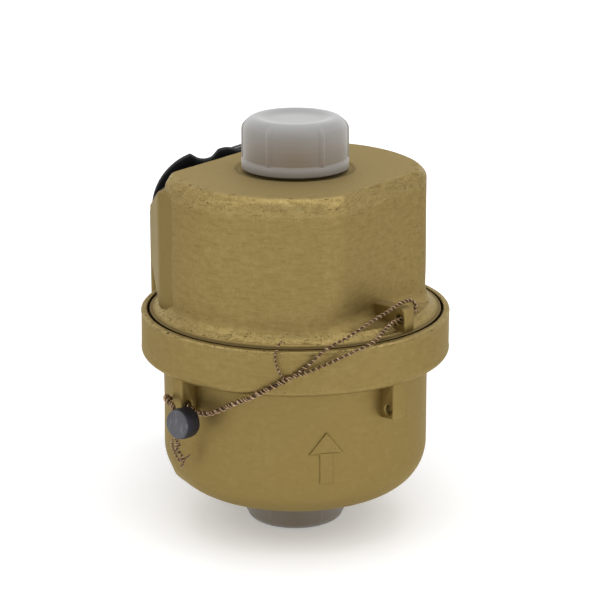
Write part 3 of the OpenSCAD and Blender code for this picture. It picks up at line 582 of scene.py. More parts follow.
def upper_casing_shell():
    shell = Shell()
    top_start = SPOT_R + 0.6
    rings = lathe([
        (0, Z_TOP - 9), (BORE_R - 0.3, Z_TOP - 9), (BORE_R, Z_TOP - 8.7), (BORE_R, Z_OUTLET - 0.5),
        (BORE_R + 0.4, Z_OUTLET - 0.05), (BORE_R + 0.6, Z_OUTLET), (THREAD_ROOT_R - 0.4, Z_OUTLET)])
    rings += list(reversed(thread_rings(Z_SPOT + 0.9, Z_OUTLET - 0.4, 1.4, 0.9)))
    # The step round the cap's seat goes below 0: painted shade at the foot of the cap.
    rings += lathe([
        (THREAD_ROOT_R, Z_SPOT + 0.5), (THREAD_ROOT_R + 0.3, Z_SPOT + 0.1), (THREAD_ROOT_R + 0.9, Z_SPOT),
        (SPOT_R - 0.8, Z_SPOT, -0.2), (SPOT_R - 0.4, Z_SPOT + 0.1, -0.3),
        (SPOT_R - 0.1, Z_SPOT + 0.34, -0.1), (SPOT_R + 0.1, Z_TOP - 0.1), (SPOT_R + 0.3, Z_TOP - 0.02),
        (top_start, Z_TOP)])

    def plan(turn):
        """Radius of the wall below the rim."""
        return drum_radius(turn, Z_TOP - 8)[0]

    def rim_round(turn):
        return FLAT_ROUND + (RIM_ROUND - FLAT_ROUND) * smooth(UPPER_R - 2.5, UPPER_R - 0.3, plan(turn))

    for part in (0.2, 0.4, 0.6, 0.75, 0.86, 0.94):
        def top(turn, part=part):
            reach = plan(turn) - rim_round(turn) - top_start
            return top_start + reach * part, Z_TOP, 0.25 * smooth(0.80, 1.0, part)
        rings.append(around(top))
    for step in range(11):
        a = math.radians(9 * step)

        def rim(turn, a=a):
            soft = rim_round(turn)
            wave = cast_wave(turn * 4, 40) * 0.5
            r = plan(turn) - soft * (1 - math.sin(a)) + wave * math.sin(a)
            z = Z_TOP - soft * (1 - math.cos(a)) + wave * 0.4
            return r, z, 0.30 + 0.35 * math.sin(2 * a) + 0.3 * math.sin(a) ** 4
        rings.append(around(rim))
    z = Z_TOP - RIM_ROUND - 0.4
    while z > Z_RING_TOP + 0.1:
        def wall(turn, z=z):
            r, edge = drum_radius(turn, z)
            near_rim = smooth(Z_TOP - 8.5, Z_TOP - RIM_ROUND, z)
            settled = smooth(Z_RING_TOP + 3, Z_RING_TOP + 9, z)
            # The cove gets a painted highlight, extra wear that lightens it; just above the flange the value
            # drops below 0, painted shade.
            cove_highlight = 0.72 * smooth(Z_RING_TOP + 5.5, Z_RING_TOP + 1.5, z)
            painted_shade = 1.3 * smooth(Z_RING_TOP + 0.7, Z_RING_TOP + 0.2, z)
            rub = max(0.6 * near_rim, 0.3 * edge * settled, cove_highlight, 0.26) - painted_shade
            return r + cast_wave(turn, z) * settled, z, rub
        rings.append(around(wall))
        z -= 1.2 if z > FLAT_FOOT_Z + FOOT_R + 1 else 0.28
    # Below 0 at the flange: painted shade in the joint under the cove.
    rings += lathe([
        (FLANGE_R, Z_RING_TOP + 0.02, -0.3), (FLANGE_R, Z_RING_TOP - 0.4, -1), (FLANGE_R, Z_SEAT + 0.2, -1),
        (FLANGE_R - 0.2, Z_SEAT), (30, Z_SEAT), (0, Z_SEAT)])
    shell.skin(rings)
    add_neck(shell)
    add_pad(shell)
    add_web(shell)
    shell.add(lug_mesh(-9.5, 2.0, 7.5, 4.3, -0.2), lug_place(50, 39.4, Z_RING_TOP - 0.5))
    return shell.piece("upper_casing_cast", BRASS)


def add_neck(shell):
    """The round neck that carries the register, filleted to the upper wall, with its pocket."""
    count = 120

    def wall_at(turn):
        """Distance along the neck at which it leaves the upper casing."""
        side, z = NECK_R * math.cos(turn), Z_NECK - NECK_R * math.sin(turn)
        along = PAD_Y
        while along > 12:
            spot = REGISTER @ Vector((side, along, z))
            if math.hypot(spot.x, spot.y) <= drum_radius(math.atan2(spot.y, spot.x), z)[0]:
                break
            along -= 0.25
        return along

    walls = [wall_at(TAU * i / count) for i in range(count)]
    rings = lathe([
        (0, POCKET_Y), (POCKET_R - 0.4, POCKET_Y), (POCKET_R, POCKET_Y + 0.4), (POCKET_R, PAD_END - 0.05),
        (NECK_R - 0.3, PAD_END - 0.05), (NECK_R, PAD_END - 0.4)], count)
    for part in (1.0, 0.8, 0.6, 0.45, 0.3, 0.2, 0.1, 0.0, -0.15):
        ring = []
        for i in range(count):
            turn, start = TAU * i / count, walls[i]
            reach = min(4.0, PAD_Y - start)
            flare = 2.6 * (1 - min(max(part, 0) * (PAD_Y - start) / reach, 1)) ** 2 if reach > 0.3 else 0
            r = NECK_R + flare
            along = start + part * (PAD_Y - start)
            ring.append((Vector((r * math.cos(turn), r * math.sin(turn), along)), 0.1))
        rings.append(ring)
    rings += lathe([(8, 15), (0, 15)], count)
    shell.skin(rings, register_axis(z=Z_NECK))


def add_pad(shell):
    """The plate behind the neck, open below it, with rounded edges and four screw holes."""
    half_w, half_h, corner = 39.4, 30.0, 10.0
    screw_r, screw_x, screw_z = 2.1, 31, 22
    rise = Z_NECK - Z_MID
    outer = rounded_rect(half_w, half_h, corner)
    mouth = math.sqrt(POCKET_R ** 2 - (half_h - rise) ** 2)
    first = math.atan2(half_h - rise, mouth)
    opening = rounded_rect(24, 17, 6, (0, -7))
    notch = [(POCKET_R * math.cos(a), rise + POCKET_R * math.sin(a))
             for a in (first - (first + math.pi / 2 - 0.14) * i / 16 for i in range(17))]
    start = len(outer) // 4
    right = opening[:start][::-1] + opening[3 * start:][::-1] + opening[2 * start:3 * start][::-1]
    left = opening[start:2 * start][::-1]
    outline = outer[start:] + outer[:start] + notch + right + left + [(-x, y) for x, y in reversed(notch)]
    holes = [circle(screw_r, (x, z), 24) for x in (-screw_x, screw_x) for z in (-screw_z, screw_z)]
    shell.add(plate_mesh([outline] + holes, PAD_END - PAD_Y, 0.45), register_plate((PAD_Y + PAD_END) / 2))


def add_web(shell):
    """The web that ties the pad's left edge to the wall; it falls towards the pad."""
    tip_y, knee_y, end_y, steps = -12.0, -4.0, PAD_Y + 0.2, 24
    foot, front, back = Z_RING_TOP + 1, Z_TOP - 4.6, Z_MID + 24.5
    rings = []
    for step in range(steps + 1):
        y = tip_y + (end_y - tip_y) * step / steps
        bend = min((y - tip_y) / (knee_y - tip_y), 1)
        outer, inner = 35.85 + 3.55 * bend, 33.0 + 2.4 * bend
        top = front - (front - back) * max(y - knee_y, 0) / (PAD_Y - knee_y)
        centre = (-(outer + inner) / 2, (foot + top) / 2)
        edge = rounded_rect((outer - inner) / 2, (top - foot) / 2, 1.2, centre, 5)
        # The web's face sits a little below 0: painted shade that darkens it.
        rings.append([(Vector((x, y, z)), -0.19) for x, z in edge])
    ends = [[(Vector((-34.4, tip_y, 80)), 0.0)], [(Vector((-37.4, end_y, 75)), 0.0)]]
    shell.skin(ends[:1] + rings + ends[1:], REGISTER)


def lower_casing_shell():
    shell = Shell()
    rings = lathe([
        (0, Z_BOTTOM + 4), (BORE_R, Z_BOTTOM + 4), (BORE_R, 0.5), (BORE_R + 0.4, 0.05), (BORE_R + 0.6, 0),
        (THREAD_ROOT_R - 0.4, 0)])
    rings += thread_rings(0.4, Z_BOTTOM - 0.9, 0.9, 1.4)
    rings += lathe([
        (THREAD_ROOT_R, Z_BOTTOM - 0.5), (THREAD_ROOT_R + 0.4, Z_BOTTOM - 0.1),
        (THREAD_ROOT_R + 1, Z_BOTTOM)])
    stub_turn, stub_z = math.radians(196), 13.2

    def casting_bump(turn, z):
        """The stub of a runner, left on the lower edge at the left."""
        off = (turn - stub_turn + math.pi) % TAU - math.pi
        return 0.7 * math.exp(-(off * 26 / 2.4) ** 2 - ((z - stub_z) / 1.7) ** 2)

    rows = [(r, Z_BOTTOM) for r in (15, 18, 21)]
    rows += [row[:2] for row in arc(LOWER_R - BOTTOM_ROUND, Z_BOTTOM + BOTTOM_ROUND, BOTTOM_ROUND,
                                    -90, 0, 22)]
    z = Z_BOTTOM + BOTTOM_ROUND + 1.2
    while z < Z_RING - 1.7:
        rows.append((LOWER_R, z))
        z += 1.1
    fillet = 1.6
    rows += [row[:2] for row in arc(LOWER_R + fillet, Z_RING - fillet, fillet, 180, 90, 6)]
    for r, z in rows:
        # Towards the bottom a little wear is added, which lightens it: painted light on the underside.
        def wall(turn, r=r, z=z):
            settled = smooth(Z_BOTTOM, Z_BOTTOM + 8, z) * smooth(Z_RING, Z_RING - 4, z)
            return r + cast_wave(turn + 1, z) * settled + casting_bump(turn, z), z, 0.08 * smooth(24, 12, z)
        rings.append(around(wall))
    rings += lathe([(RING_R - RING_ROUND - 0.8, Z_RING, 0.05)])
    rings += lathe(arc(RING_R - RING_ROUND, Z_RING + RING_ROUND, RING_ROUND, -90, 0, 8, 0.28))
    z = Z_RING + RING_ROUND + 0.8
    while z < Z_RING_TOP - 0.9:
        def band(turn, z=z):
            rub = 0.12 + 0.3 * smooth(Z_RING_TOP - 3, Z_RING_TOP, z)
            return RING_R - 0.12 + cast_wave(turn + 2, z) * 0.8, z, rub
        rings.append(around(band))
        z += 0.8
    # The ring's top edge is worn; below 0 in the groove is painted shade.
    rings += lathe([
        (RING_R - 0.05, Z_RING_TOP - 0.6, 0.6), (RING_R - 0.12, Z_RING_TOP - 0.3, 0.85),
        (RING_R - 0.3, Z_RING_TOP - 0.1, 0.9), (RING_R - 0.6, Z_RING_TOP, 0.8),
        (GROOVE_R + 0.2, Z_RING_TOP, 0.5), (GROOVE_R, Z_RING_TOP - 0.2, -0.2),
        (GROOVE_R, Z_RING_TOP - 0.5, -1), (GROOVE_R, Z_SEAT, -1), (40.5, Z_SEAT, -1), (40.5, Z_SEAT - 4),
        (0, Z_SEAT - 4)])
    shell.skin(rings)
    for angle in (-50, 42):
        shell.add(lug_mesh(-4.4, 2.2, LUG_H + 1.2, 3, 0.6), lug_place(angle, 41, Z_RING - LUG_H))
    shell.add(plate_mesh([flow_arrow()], 1.2, 0.35), bend=lambda p: on_lower_wall(p, 13, 28.5))
    return shell.piece("lower_casing_cast", BRASS)


def flow_arrow():
    """A plain arrow that points along the flow, with extra points so that it bends smoothly."""
    return [(-1.9, -7.5), (-0.6, -7.5), (0.6, -7.5), (1.9, -7.5), (1.9, -3), (1.9, 1.2), (3.4, 1.2), (5, 1.2),
            (2.5, 4.4), (0, 7.6), (-2.5, 4.4), (-5, 1.2), (-3.4, 1.2), (-1.9, 1.2), (-1.9, -3)]


def on_lower_wall(p, angle, z):
    """Bends a flat drawing round the lower casing; half of its depth stands out."""
    a = math.radians(angle) + p.x / LOWER_R
    r = LOWER_R + p.z
    return Vector((r * math.sin(a), -r * math.cos(a), z + p.y))


# Caps

def cap_shell(name, material, height, body_r, round_r, ridge_h, flip, tint):
    """A milky cap with six grip ridges, a lip and a dished end, drawn from its end to its open side."""
    shell = Shell()
    flat_r = body_r - round_r
    lip_z = height - 2.8

    def ridge(turn):
        off = (math.degrees(turn) + 30) % 60 - 30
        return ridge_h * smooth(4.2, 1.4, abs(off))

    def side_tone(turn, z):
        """Darker lower down, where the metal shows through and where shade is painted; lighter at the left
        and right, a painted lift of light.
        """
        return (tint + (1 - tint) * smooth(2.0, 9.5, z)) * (1 - 0.35 * abs(math.cos(turn)))

    dish = ((0.28, 1.0), (0.55, 0.97), (0.66, 0.88), (0.76, 0.66), (0.84, 0.35), (0.91, 0.12), (0.96, 0.02))
    rings = [pole(dish[0][1])]
    for part, z in dish:
        rings.append(plain_ring(part * flat_r, z))
    for i in range(11):
        a = math.radians(9 * i)

        def shoulder(turn, a=a):
            out = round_r + ridge(turn) * math.sin(a)
            z = round_r - round_r * math.cos(a)
            return flat_r + out * math.sin(a), z, side_tone(turn, z) * math.sin(a) ** 3
        rings.append(around(shoulder))
    z = round_r + 0.5
    while z < lip_z - 0.4:
        rings.append(around(lambda turn, z=z: (body_r + ridge(turn), z, side_tone(turn, z))))
        z += 0.45
    rings.append(around(lambda turn: (body_r + ridge(turn), lip_z - 0.25, side_tone(turn, lip_z))))
    plug_end = CAP_REACH + 3
    rings += lathe([
        (CAP_R + 0.35, lip_z, 0.55), (LIP_R - 0.2, lip_z + 0.08, 0.45), (LIP_R, lip_z + 0.35, 0.38),
        (LIP_R, height - 0.4, 0.38), (LIP_R - 0.15, height - 0.1, 0.4), (LIP_R - 0.5, height, 0.5),
        (CAP_IN_R + 0.2, height, 0.8), (CAP_IN_R, height - 0.2, 0.8), (CAP_IN_R, CAP_END + 0.6, 0.4),
        (CAP_IN_R - 0.6, CAP_END, 0.2), (PLUG_R, CAP_END, 0.1), (PLUG_R, plug_end - 0.2, 0.1),
        (7.1, plug_end, 0.1), (6.4, plug_end, 0.1), (PLUG_IN_R, plug_end - 0.2, 0.1),
        (PLUG_IN_R, CAP_END, 0.1), (0, CAP_END)])
    place = Matrix.Translation((0, 0, -CAP_REACH))
    if flip:
        place = Matrix.Translation((0, 0, Z_OUTLET + CAP_REACH)) @ Matrix.Scale(-1, 4, (0, 0, 1))
    shell.skin(rings, place)
    return shell.piece(name, material, 50)


# Register

def register_axis(y=0.0, z=Z_MID):
    """Places a lathe's axis along the register's axis, away from the pipe."""
    return REGISTER @ Matrix(((1, 0, 0, 0), (0, 0, 1, y), (0, -1, 0, z), (0, 0, 0, 1)))


def register_plate(y):
    """Stands a flat drawing across the register's axis."""
    return REGISTER @ Matrix(((1, 0, 0, 0), (0, 0, -1, y), (0, 1, 0, Z_MID), (0, 0, 0, 1)))


def lobed_outline():
    """A rounded square with two lobes, two scallops and a recess on two of its edges, as one line."""
    half, corner = 38.6, 18.3
    lobe_x, lobe_r, lobe_top = 15.4, 4.6, 39.2
    scallop_x, scallop_y, scallop_r = 22.5, 40.8, 5.0
    recess_half, recess_floor = 10.8, 37.2

    def outside(p):
        """How far a point lies outside the outline, negative inside."""
        x, y = abs(p.x), abs(p.y)
        square = math.hypot(max(x - half + corner, 0), max(y - half + corner, 0)) - corner
        scallop = scallop_r - math.hypot(x - scallop_x, y - scallop_y)
        recess = min(recess_half - x, y - recess_floor)
        lobe = math.hypot(x - lobe_x, y - lobe_top + lobe_r) - lobe_r
        return soft_min(max(square, scallop, recess), lobe, 0.8)

    points = []
    for i in range(600):
        ray = Vector((math.cos(TAU * i / 600), math.sin(TAU * i / 600)))
        near, far = 30.0, 54.0
        while far - near > 0.005:
            middle = (near + far) / 2
            if outside(ray * middle) < 0:
                near = middle
            else:
                far = middle
        points.append(tuple(ray * near))
    return points


def box_mesh(low, high, bevel):
    """A block with rounded edges between two corners."""
    bm = bmesh.new()
    bmesh.ops.create_cube(bm, size=1)
    for vert in bm.verts:
        vert.co = Vector([low[k] + (high[k] - low[k]) * (vert.co[k] + 0.5) for k in range(3)])
    bmesh.ops.bevel(bm, geom=bm.edges[:], offset=bevel, segments=3, profile=0.5, affect="EDGES")
    return mesh_from(bm, "block")


def hinge_tube(shell, z0, z1):
    rows = [(HINGE_BORE_R, 0.1), (HINGE_BORE_R + 0.25, 0), (HINGE_BARREL_R - 0.4, 0), (HINGE_BARREL_R, 0.4)]
    length = z1 - z0
    rows += [(r, length - z) for r, z in reversed(rows)] + [rows[0]]
    shell.skin(lathe(rows, 40), REGISTER @ Matrix.Translation((HINGE_X, HINGE_Y, z0)))


def register_housing_shell():
    shell = Shell()
    rim_t, floor_y, seat_y, seat_r = 6.0, 50.4, 68.7, 33.8
    shell.add(plate_mesh([lobed_outline(), circle(CAN_IN_R - 0.1, steps=160)], rim_t, 1.5),
              register_plate(REG_Y + rim_t / 2))
    rows = [
        (0, floor_y), (CAN_IN_R - 0.5, floor_y), (CAN_IN_R, floor_y + 0.5), (CAN_IN_R, seat_y),
        (seat_r, seat_y + 0.05), (seat_r, CAN_END - 0.1), (seat_r + 0.1, CAN_END), (CAN_R - 0.4, CAN_END),
        (CAN_R, CAN_END - 0.4)]
    rows += [(CAN_R, y) for y in (72, 68, 64, 60, 57)]
    rows += [(CAN_R + 0.1, 55.4), (CAN_R + 0.5, 54.6), (CAN_R + 1.0, 54.2), (CAN_R - 0.2, 48.45), (0, 48.45)]
    shell.skin(lathe(rows, 160), register_axis())
    snout = [
        (0, 26.3), (11.4, 26.3), (12, 26.9), (12, 50.0), (10.8, 50.0), (10.8, 28), (10.3, 27.5), (0, 27.5)]
    shell.skin(lathe(snout, 96), register_axis(z=Z_NECK))
    for z0 in (Z_MID + 3.9, Z_MID - 10.9):
        z1 = z0 + 7
        hinge_tube(shell, z0, z1)
        shell.add(box_mesh((CAN_R - 2, CAN_END - 6, z0), (HINGE_X, CAN_END, z1), 0.4), REGISTER)
        shell.add(box_mesh((CAN_R + 0.5, CAN_END - 1, z0 + 0.05),
                           (HINGE_X - 1.3, CAN_END + 1.2, z1 - 0.05), 0.3), REGISTER)
    return shell.piece("register_housing_moulded", BLACK)


def register_bezel_shell():
    shell = Shell()
    inner, spigot_r, spigot_y = 30.6, 33.6, 73.95
    rows = [
        (inner, spigot_y), (spigot_r, spigot_y), (spigot_r, CAN_END + 0.02), (CAN_R - 0.3, CAN_END + 0.02),
        (CAN_R, CAN_END + 0.3), (CAN_R, BEZEL_END - 0.7), (CAN_R - 0.25, BEZEL_END - 0.2),
        (CAN_R - 0.8, BEZEL_END), (inner + 1.6, BEZEL_END), (inner + 0.5, BEZEL_END - 0.3),
        (inner, BEZEL_END - 1.2), (inner, spigot_y)]
    shell.skin(lathe(rows, 160), register_axis())
    return shell.piece("register_bezel_moulded", BLACK_GLOSS)


def register_lid_shell():
    """The lid, a shallow dome with a raised edge, a finger tab and the middle knuckle of the hinge."""
    shell = Shell()
    rows = [
        (0, LID_Y), (CAN_R - 0.5, LID_Y), (CAN_R, LID_Y + 0.4), (CAN_R, LID_END - 0.7),
        (CAN_R - 0.2, LID_END - 0.2), (CAN_R - 0.7, LID_END), (CAN_R - 2.4, LID_END),
        (CAN_R - 2.9, LID_END - 0.15), (CAN_R - 3.3, LID_END - 0.6), (CAN_R - 4, LID_END - 0.7)]
    rows += [(r, LID_END - 0.7 + 0.55 * (1 - (r / 31) ** 2)) for r in (28, 24, 19, 13, 6)]
    rows.append((0, LID_END - 0.15))
    shell.skin(lathe(rows, 160), register_axis())
    hinge_tube(shell, Z_MID - 3.5, Z_MID + 3.5)
    shell.add(box_mesh((CAN_R - 3, LID_Y, Z_MID - 3.45), (HINGE_X - 1.3, LID_END - 0.05, Z_MID + 3.45), 0.35),
              REGISTER)
    shell.add(box_mesh((-CAN_R - 2, LID_Y + 0.02, Z_MID - 5), (-CAN_R + 3, LID_END - 0.1, Z_MID + 5), 0.6),
              REGISTER)
    return shell.piece("register_lid_moulded", BLACK_GLOSS)


# Seal wire and lead seal

SEAL_CENTRE, SEAL_DIR = Vector((-31.15, -34.12, 37.8)), Vector((-0.66, -0.75, 0.06)).normalized()
# Routes from the part's own source; heights are from the underside of the union ring
PAIR_ROUTE = (
    (-31.2, -34.1, -10.6), (-33.6, -31.6, -7.2), (-35.9, -27.6, -6), (-36, -23.8, -6.6),
    (-33.9, -23.4, -7.6), (-31.4, -26.4, -7.6), (-29, -29.4, -7.9), (-26.6, -32.2, -8.4), (-23, -35.8, -7),
    (-17.9, -39.3, -3.6), (-12.5, -43.2, -0.1), (-6.9, -45.1, 3.3), (-1.5, -45.2, 6.2))
LOOP_ROUTE = (
    (-1.5, -45.2, 6.2), (6, -45.3, 9), (14, -43.6, 12.2), (20.8, -40, 14.4), (24.6, -33.6, 16.2),
    (27.2, -29, 17.1), (30.2, -25.3, 17.1), (32.8, -22.2, 17.4), (33.6, -20.8, 19.4), (32, -22.6, 21.4),
    (29, -26.4, 21.6), (25, -31.6, 20.6), (20, -36.6, 19), (14.5, -41.2, 16.6), (8, -45, 14),
    (3.4, -45.3, 9.8), (-1.5, -45.2, 6.2))
# Loose ends of the wire: below the seal and where the pair divides
TAILS = (((-32.2, -33.2, -13.6), (-32.7, -31.8, -14.9), (-34.6, -28.4, -18), (-34.2, -27.1, -21.5),
          (-32.5, -26.9, -24.3), (-29.6, -28.3, -22.2)),
         ((-31.8, -33.4, -14), (-32.2, -32, -15.2), (-33.5, -29.5, -19.1), (-32.4, -29.2, -21.3),
          (-31.4, -27.9, -24.5), (-32.4, -25.2, -27)),
         ((-32, -33, -13.8), (-33.6, -30.4, -16.4), (-32.4, -29.8, -18.6), (-33.9, -27.9, -20.6),
          (-31.8, -28.7, -22.4), (-32.9, -26.9, -24.8)),
         ((-3.3, -45.4, 5.9), (-4.7, -45.5, 8.6), (-5.5, -45.2, 11.9), (-4.9, -44.4, 14.5),
          (-3.6, -43.6, 16.2)))


def smooth_route(points, z0, steps=10):
    """A curve through the points, in millimetres."""
    spots = [Vector(p) + Vector((0, 0, z0)) for p in points]
    route = []
    for i in range(len(spots) - 1):
        a, b, c, d = spots[max(i - 1, 0)], spots[i], spots[i + 1], spots[min(i + 2, len(spots) - 1)]
        for k in range(steps):
            t = k / steps
            route.append(0.5 * (2 * b + (c - a) * t + (2 * a - 5 * b + 4 * c - d) * t * t
                                + (3 * b - a - 3 * c + d) * t * t * t))
    return route + [spots[-1]]


def twisted_strand_tree():
    """Winds a thin wire round each route: coil radius, wire radius, pitch, first turn and step."""
    tree = bpy.data.node_groups.new("twisted_strand", "GeometryNodeTree")
    face = tree.interface
    face.new_socket("Geometry", in_out="INPUT", socket_type="NodeSocketGeometry")
    sizes = {name: face.new_socket(name, in_out="INPUT", socket_type="NodeSocketFloat").identifier
             for name in ("Coil radius", "Wire radius", "Pitch", "First turn", "Step")}
    face.new_socket("Geometry", in_out="OUTPUT", socket_type="NodeSocketGeometry")
    first = Value(tree, None)
    given = {socket.name: Value(tree, socket) for socket in tree.nodes.new("NodeGroupInput").outputs}

    def vector(operation, inputs):
        return first.node("ShaderNodeVectorMath", {"operation": operation}, inputs)

    def along(axis, amount):
        return vector("SCALE", {"Vector": axis, "Scale": amount * given["Coil radius"]})

    even = first.node("GeometryNodeResampleCurve", {"mode": "LENGTH"},
                      {"Curve": given["Geometry"], "Length": given["Step"]})
    length = first.node("GeometryNodeSplineParameter", out="Length")
    turn = first.maths("DIVIDE", length, given["Pitch"]) * TAU + given["First turn"]
    normal = first.node("GeometryNodeInputNormal")
    tangent = first.node("GeometryNodeInputTangent")
    cross = vector("CROSS_PRODUCT", {0: tangent, 1: normal})
    shift = vector("ADD", {0: along(normal, first.maths("COSINE", turn)),
                           1: along(cross, first.maths("SINE", turn))})
    wound = first.node("GeometryNodeSetPosition", None, {"Geometry": even, "Offset": shift})
    section = first.node("GeometryNodeCurvePrimitiveCircle", {"mode": "RADIUS"},
                         {"Resolution": 6, "Radius": given["Wire radius"]})
    tube = first.node("GeometryNodeCurveToMesh", None,
                      {"Curve": wound, "Profile Curve": section, "Fill Caps": True})
    plain = first.node("GeometryNodeRealizeInstances", None, {"Geometry": tube})
    first.node("NodeGroupOutput", None, {0: plain})
    return tree, sizes


STRAND, STRAND_SIZES = twisted_strand_tree()
STRAND_STEP = 0.18


def wound_wire(routes, winds):
    """Meshes of thin wires wound round the routes; each wind is coil, wire, pitch and first turn."""
    meshes = []
    for coil, wire, pitch, first in winds:
        curve = bpy.data.curves.new("route", "CURVE")
        curve.dimensions = "3D"
        for route in routes:
            add_line(curve, [spot * MM for spot in route])
        thing = linked("route", curve)
        wind = thing.modifiers.new("wind", "NODES")
        wind.node_group = STRAND
        for name, size in (("Coil radius", coil * MM), ("Wire radius", wire * MM), ("Pitch", pitch * MM),
                           ("First turn", first), ("Step", STRAND_STEP * MM)):
            wind[STRAND_SIZES[name]] = size
        meshes.append(made_mesh(thing))
    return meshes


def seal_wire_piece(name, material, pair_winds, loop_winds, tail_winds):
    pair = [smooth_route(PAIR_ROUTE, Z_RING)]
    loop = [smooth_route(LOOP_ROUTE, Z_RING)]
    tails = [smooth_route(tail, Z_RING, 6) for tail in TAILS]
    meshes = wound_wire(pair, pair_winds) + wound_wire(loop, loop_winds) + wound_wire(tails, tail_winds)
    bm = bmesh.new()
    for mesh in meshes:
        bm.from_mesh(mesh)
        bpy.data.meshes.remove(mesh)
    bmesh.ops.recalc_face_normals(bm, faces=bm.faces)
    mesh = mesh_from(bm, name)
    mesh.shade_smooth()
    return new_piece(name, mesh, material)


def lead_seal_shell():
    """A pellet squeezed flat on both faces, with a bulging side and a rounded edge."""
    shell = Shell()
    count = 72
    rows = (
        (0, -2.62), (2.0, -2.6), (3.1, -2.66), (3.7, -2.68), (4.0, -2.5), (4.18, -2.2), (4.3, -1.5),
        (4.36, -0.5), (4.36, 0.6), (4.3, 1.5), (4.18, 2.15), (3.98, 2.5), (3.65, 2.68), (3.1, 2.64),
        (2.0, 2.56), (0, 2.54))
    rings = []
    for r, z in rows:
        if r == 0:
            rings.append(pole(z))
            continue
        # The side gets the full value, which paints it darker: painted shade on the edge.
        rings.append(around(lambda turn, r=r, z=z: (
            r * (1 + 0.008 * math.sin(3 * turn + 1) + 0.006 * math.sin(7 * turn)),
            z + 0.03 * math.sin(2 * turn + r), smooth(2.6, 2.2, abs(z))), count))
    side = SEAL_DIR.cross(Vector((0, 0, 1))).normalized()
    place = Matrix((side, SEAL_DIR.cross(side), SEAL_DIR)).transposed().to_4x4()
    place.translation = SEAL_CENTRE
    shell.skin(rings, place)
    return shell.piece("lead_seal_pressed", LEAD, 45)


# Dial and numbers

NUMBERS_LOW, NUMBERS_HIGH, WHEEL_PITCH, WHEEL_W = 42.1, 78.1, 6, 5.6


def dial_print_piece():
    """Plain frame, lines and place values printed on the dial beside the number window."""
    shell = Shell()
    ink = 0.06
    place = REGISTER @ Matrix(((0, 1, 0, 0), (0, 0, 1, DIAL_Y + ink / 2), (1, 0, 0, Z_MID), (0, 0, 0, 1)))
    low, high = NUMBERS_LOW - Z_MID, NUMBERS_HIGH - Z_MID
    middle = ((low + high) / 2, 0)
    half_l, half_w = (high - low) / 2 + 0.5, 4.9
    frame_line = [rounded_rect(half_l + 0.5, half_w + 0.5, 0.9, middle),
                  rounded_rect(half_l, half_w, 0.5, middle)[::-1]]
    shell.add(plate_mesh(frame_line, ink, 0.01), place)
    ring_in, ring_out = 29.2, 29.6
    shell.skin(lathe([(ring_in, 0), (ring_out, 0), (ring_out, ink), (ring_in, ink), (ring_in, 0)], 120),
               register_axis(y=DIAL_Y))
    for i, value in enumerate(("0.01", "0.1", "1", "10", "100", "1000")):
        spot = Matrix.Translation((high - WHEEL_PITCH / 2 - WHEEL_PITCH * i, -7.6, 0))
        shell.add(text_mesh(value, 1.9, ink), place @ spot)
    for i in range(60):
        half, width = (1.1 if i % 5 == 0 else 0.6), 0.14
        spin = Matrix.Rotation(TAU * i / 60, 4, "Z") @ Matrix.Translation((28.8 - half, 0, 0))
        tick = [(-half, -width), (half, -width), (half, width), (-half, width)]
        shell.add(plate_mesh([tick], ink, 0.01), place @ spin)
    return shell.piece("dial_print", INK, 30)


def number_print_piece(i):
    """The figures 0 to 9 round one number wheel."""
    shell = Shell()
    centre_z = NUMBERS_HIGH - 0.2 - WHEEL_W / 2 - WHEEL_PITCH * (i - 1)

    def wrapped(figure):
        def bend(p):
            a = figure * TAU / 10 + p.y / NUMBER_R
            r = NUMBER_R + p.z
            return REGISTER @ Vector((r * math.sin(a), Y_AXLE + r * math.cos(a), centre_z + p.x))
        return bend

    for figure in range(10):
        shell.add(text_mesh(str(figure), 4.6, 0.08), bend=wrapped(figure))
    return shell.piece(f"number_wheel_{i}_figures", RED_INK if i <= 2 else INK, 30)


# Pieces on their bodies

def paint(nodes, material):
    for node in nodes:
        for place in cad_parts[node].material_slots:
            place.material = material


def settle(piece, body, slot, *nodes):
    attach(piece, body)
    if nodes:
        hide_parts(*nodes)
        paint(nodes, piece.data.materials[0])


settle(upper_casing_shell(), "meter_body", "brass", "upper_casing")
settle(lower_casing_shell(), "meter_body", "brass", "lower_casing")
settle(cap_shell("outlet_cap_moulded", MILKY, height=14.6, body_r=CAP_R, round_r=3.6, ridge_h=0.45,
                 flip=True, tint=0.4), "outlet_cap_body", "milky_cap", "outlet_cap")
# The inlet cap takes the darker tone all over: painted shade under the meter.
settle(cap_shell("inlet_cap_moulded", MILKY_SHADED, height=10.95, body_r=14.1, round_r=1.8, ridge_h=0.3,
                 flip=False, tint=1.0), "inlet_cap_body", "milky_cap", "inlet_cap")
settle(register_housing_shell(), "meter_body", "register_black", "register_housing")
settle(register_bezel_shell(), "meter_body", "register_black", "register_bezel")
settle(register_lid_shell(), "lid_body", "register_black", "register_lid")
# Winds of the pair, of the loop and of the loose ends
WINDING = ([(0.74, 0.22, 2.3, 0.0), (0.60, 0.20, 1.7, math.pi)],
           [(0.46, 0.20, 1.6, 0.7)], [(0.34, 0.15, 1.2, 2.4)])
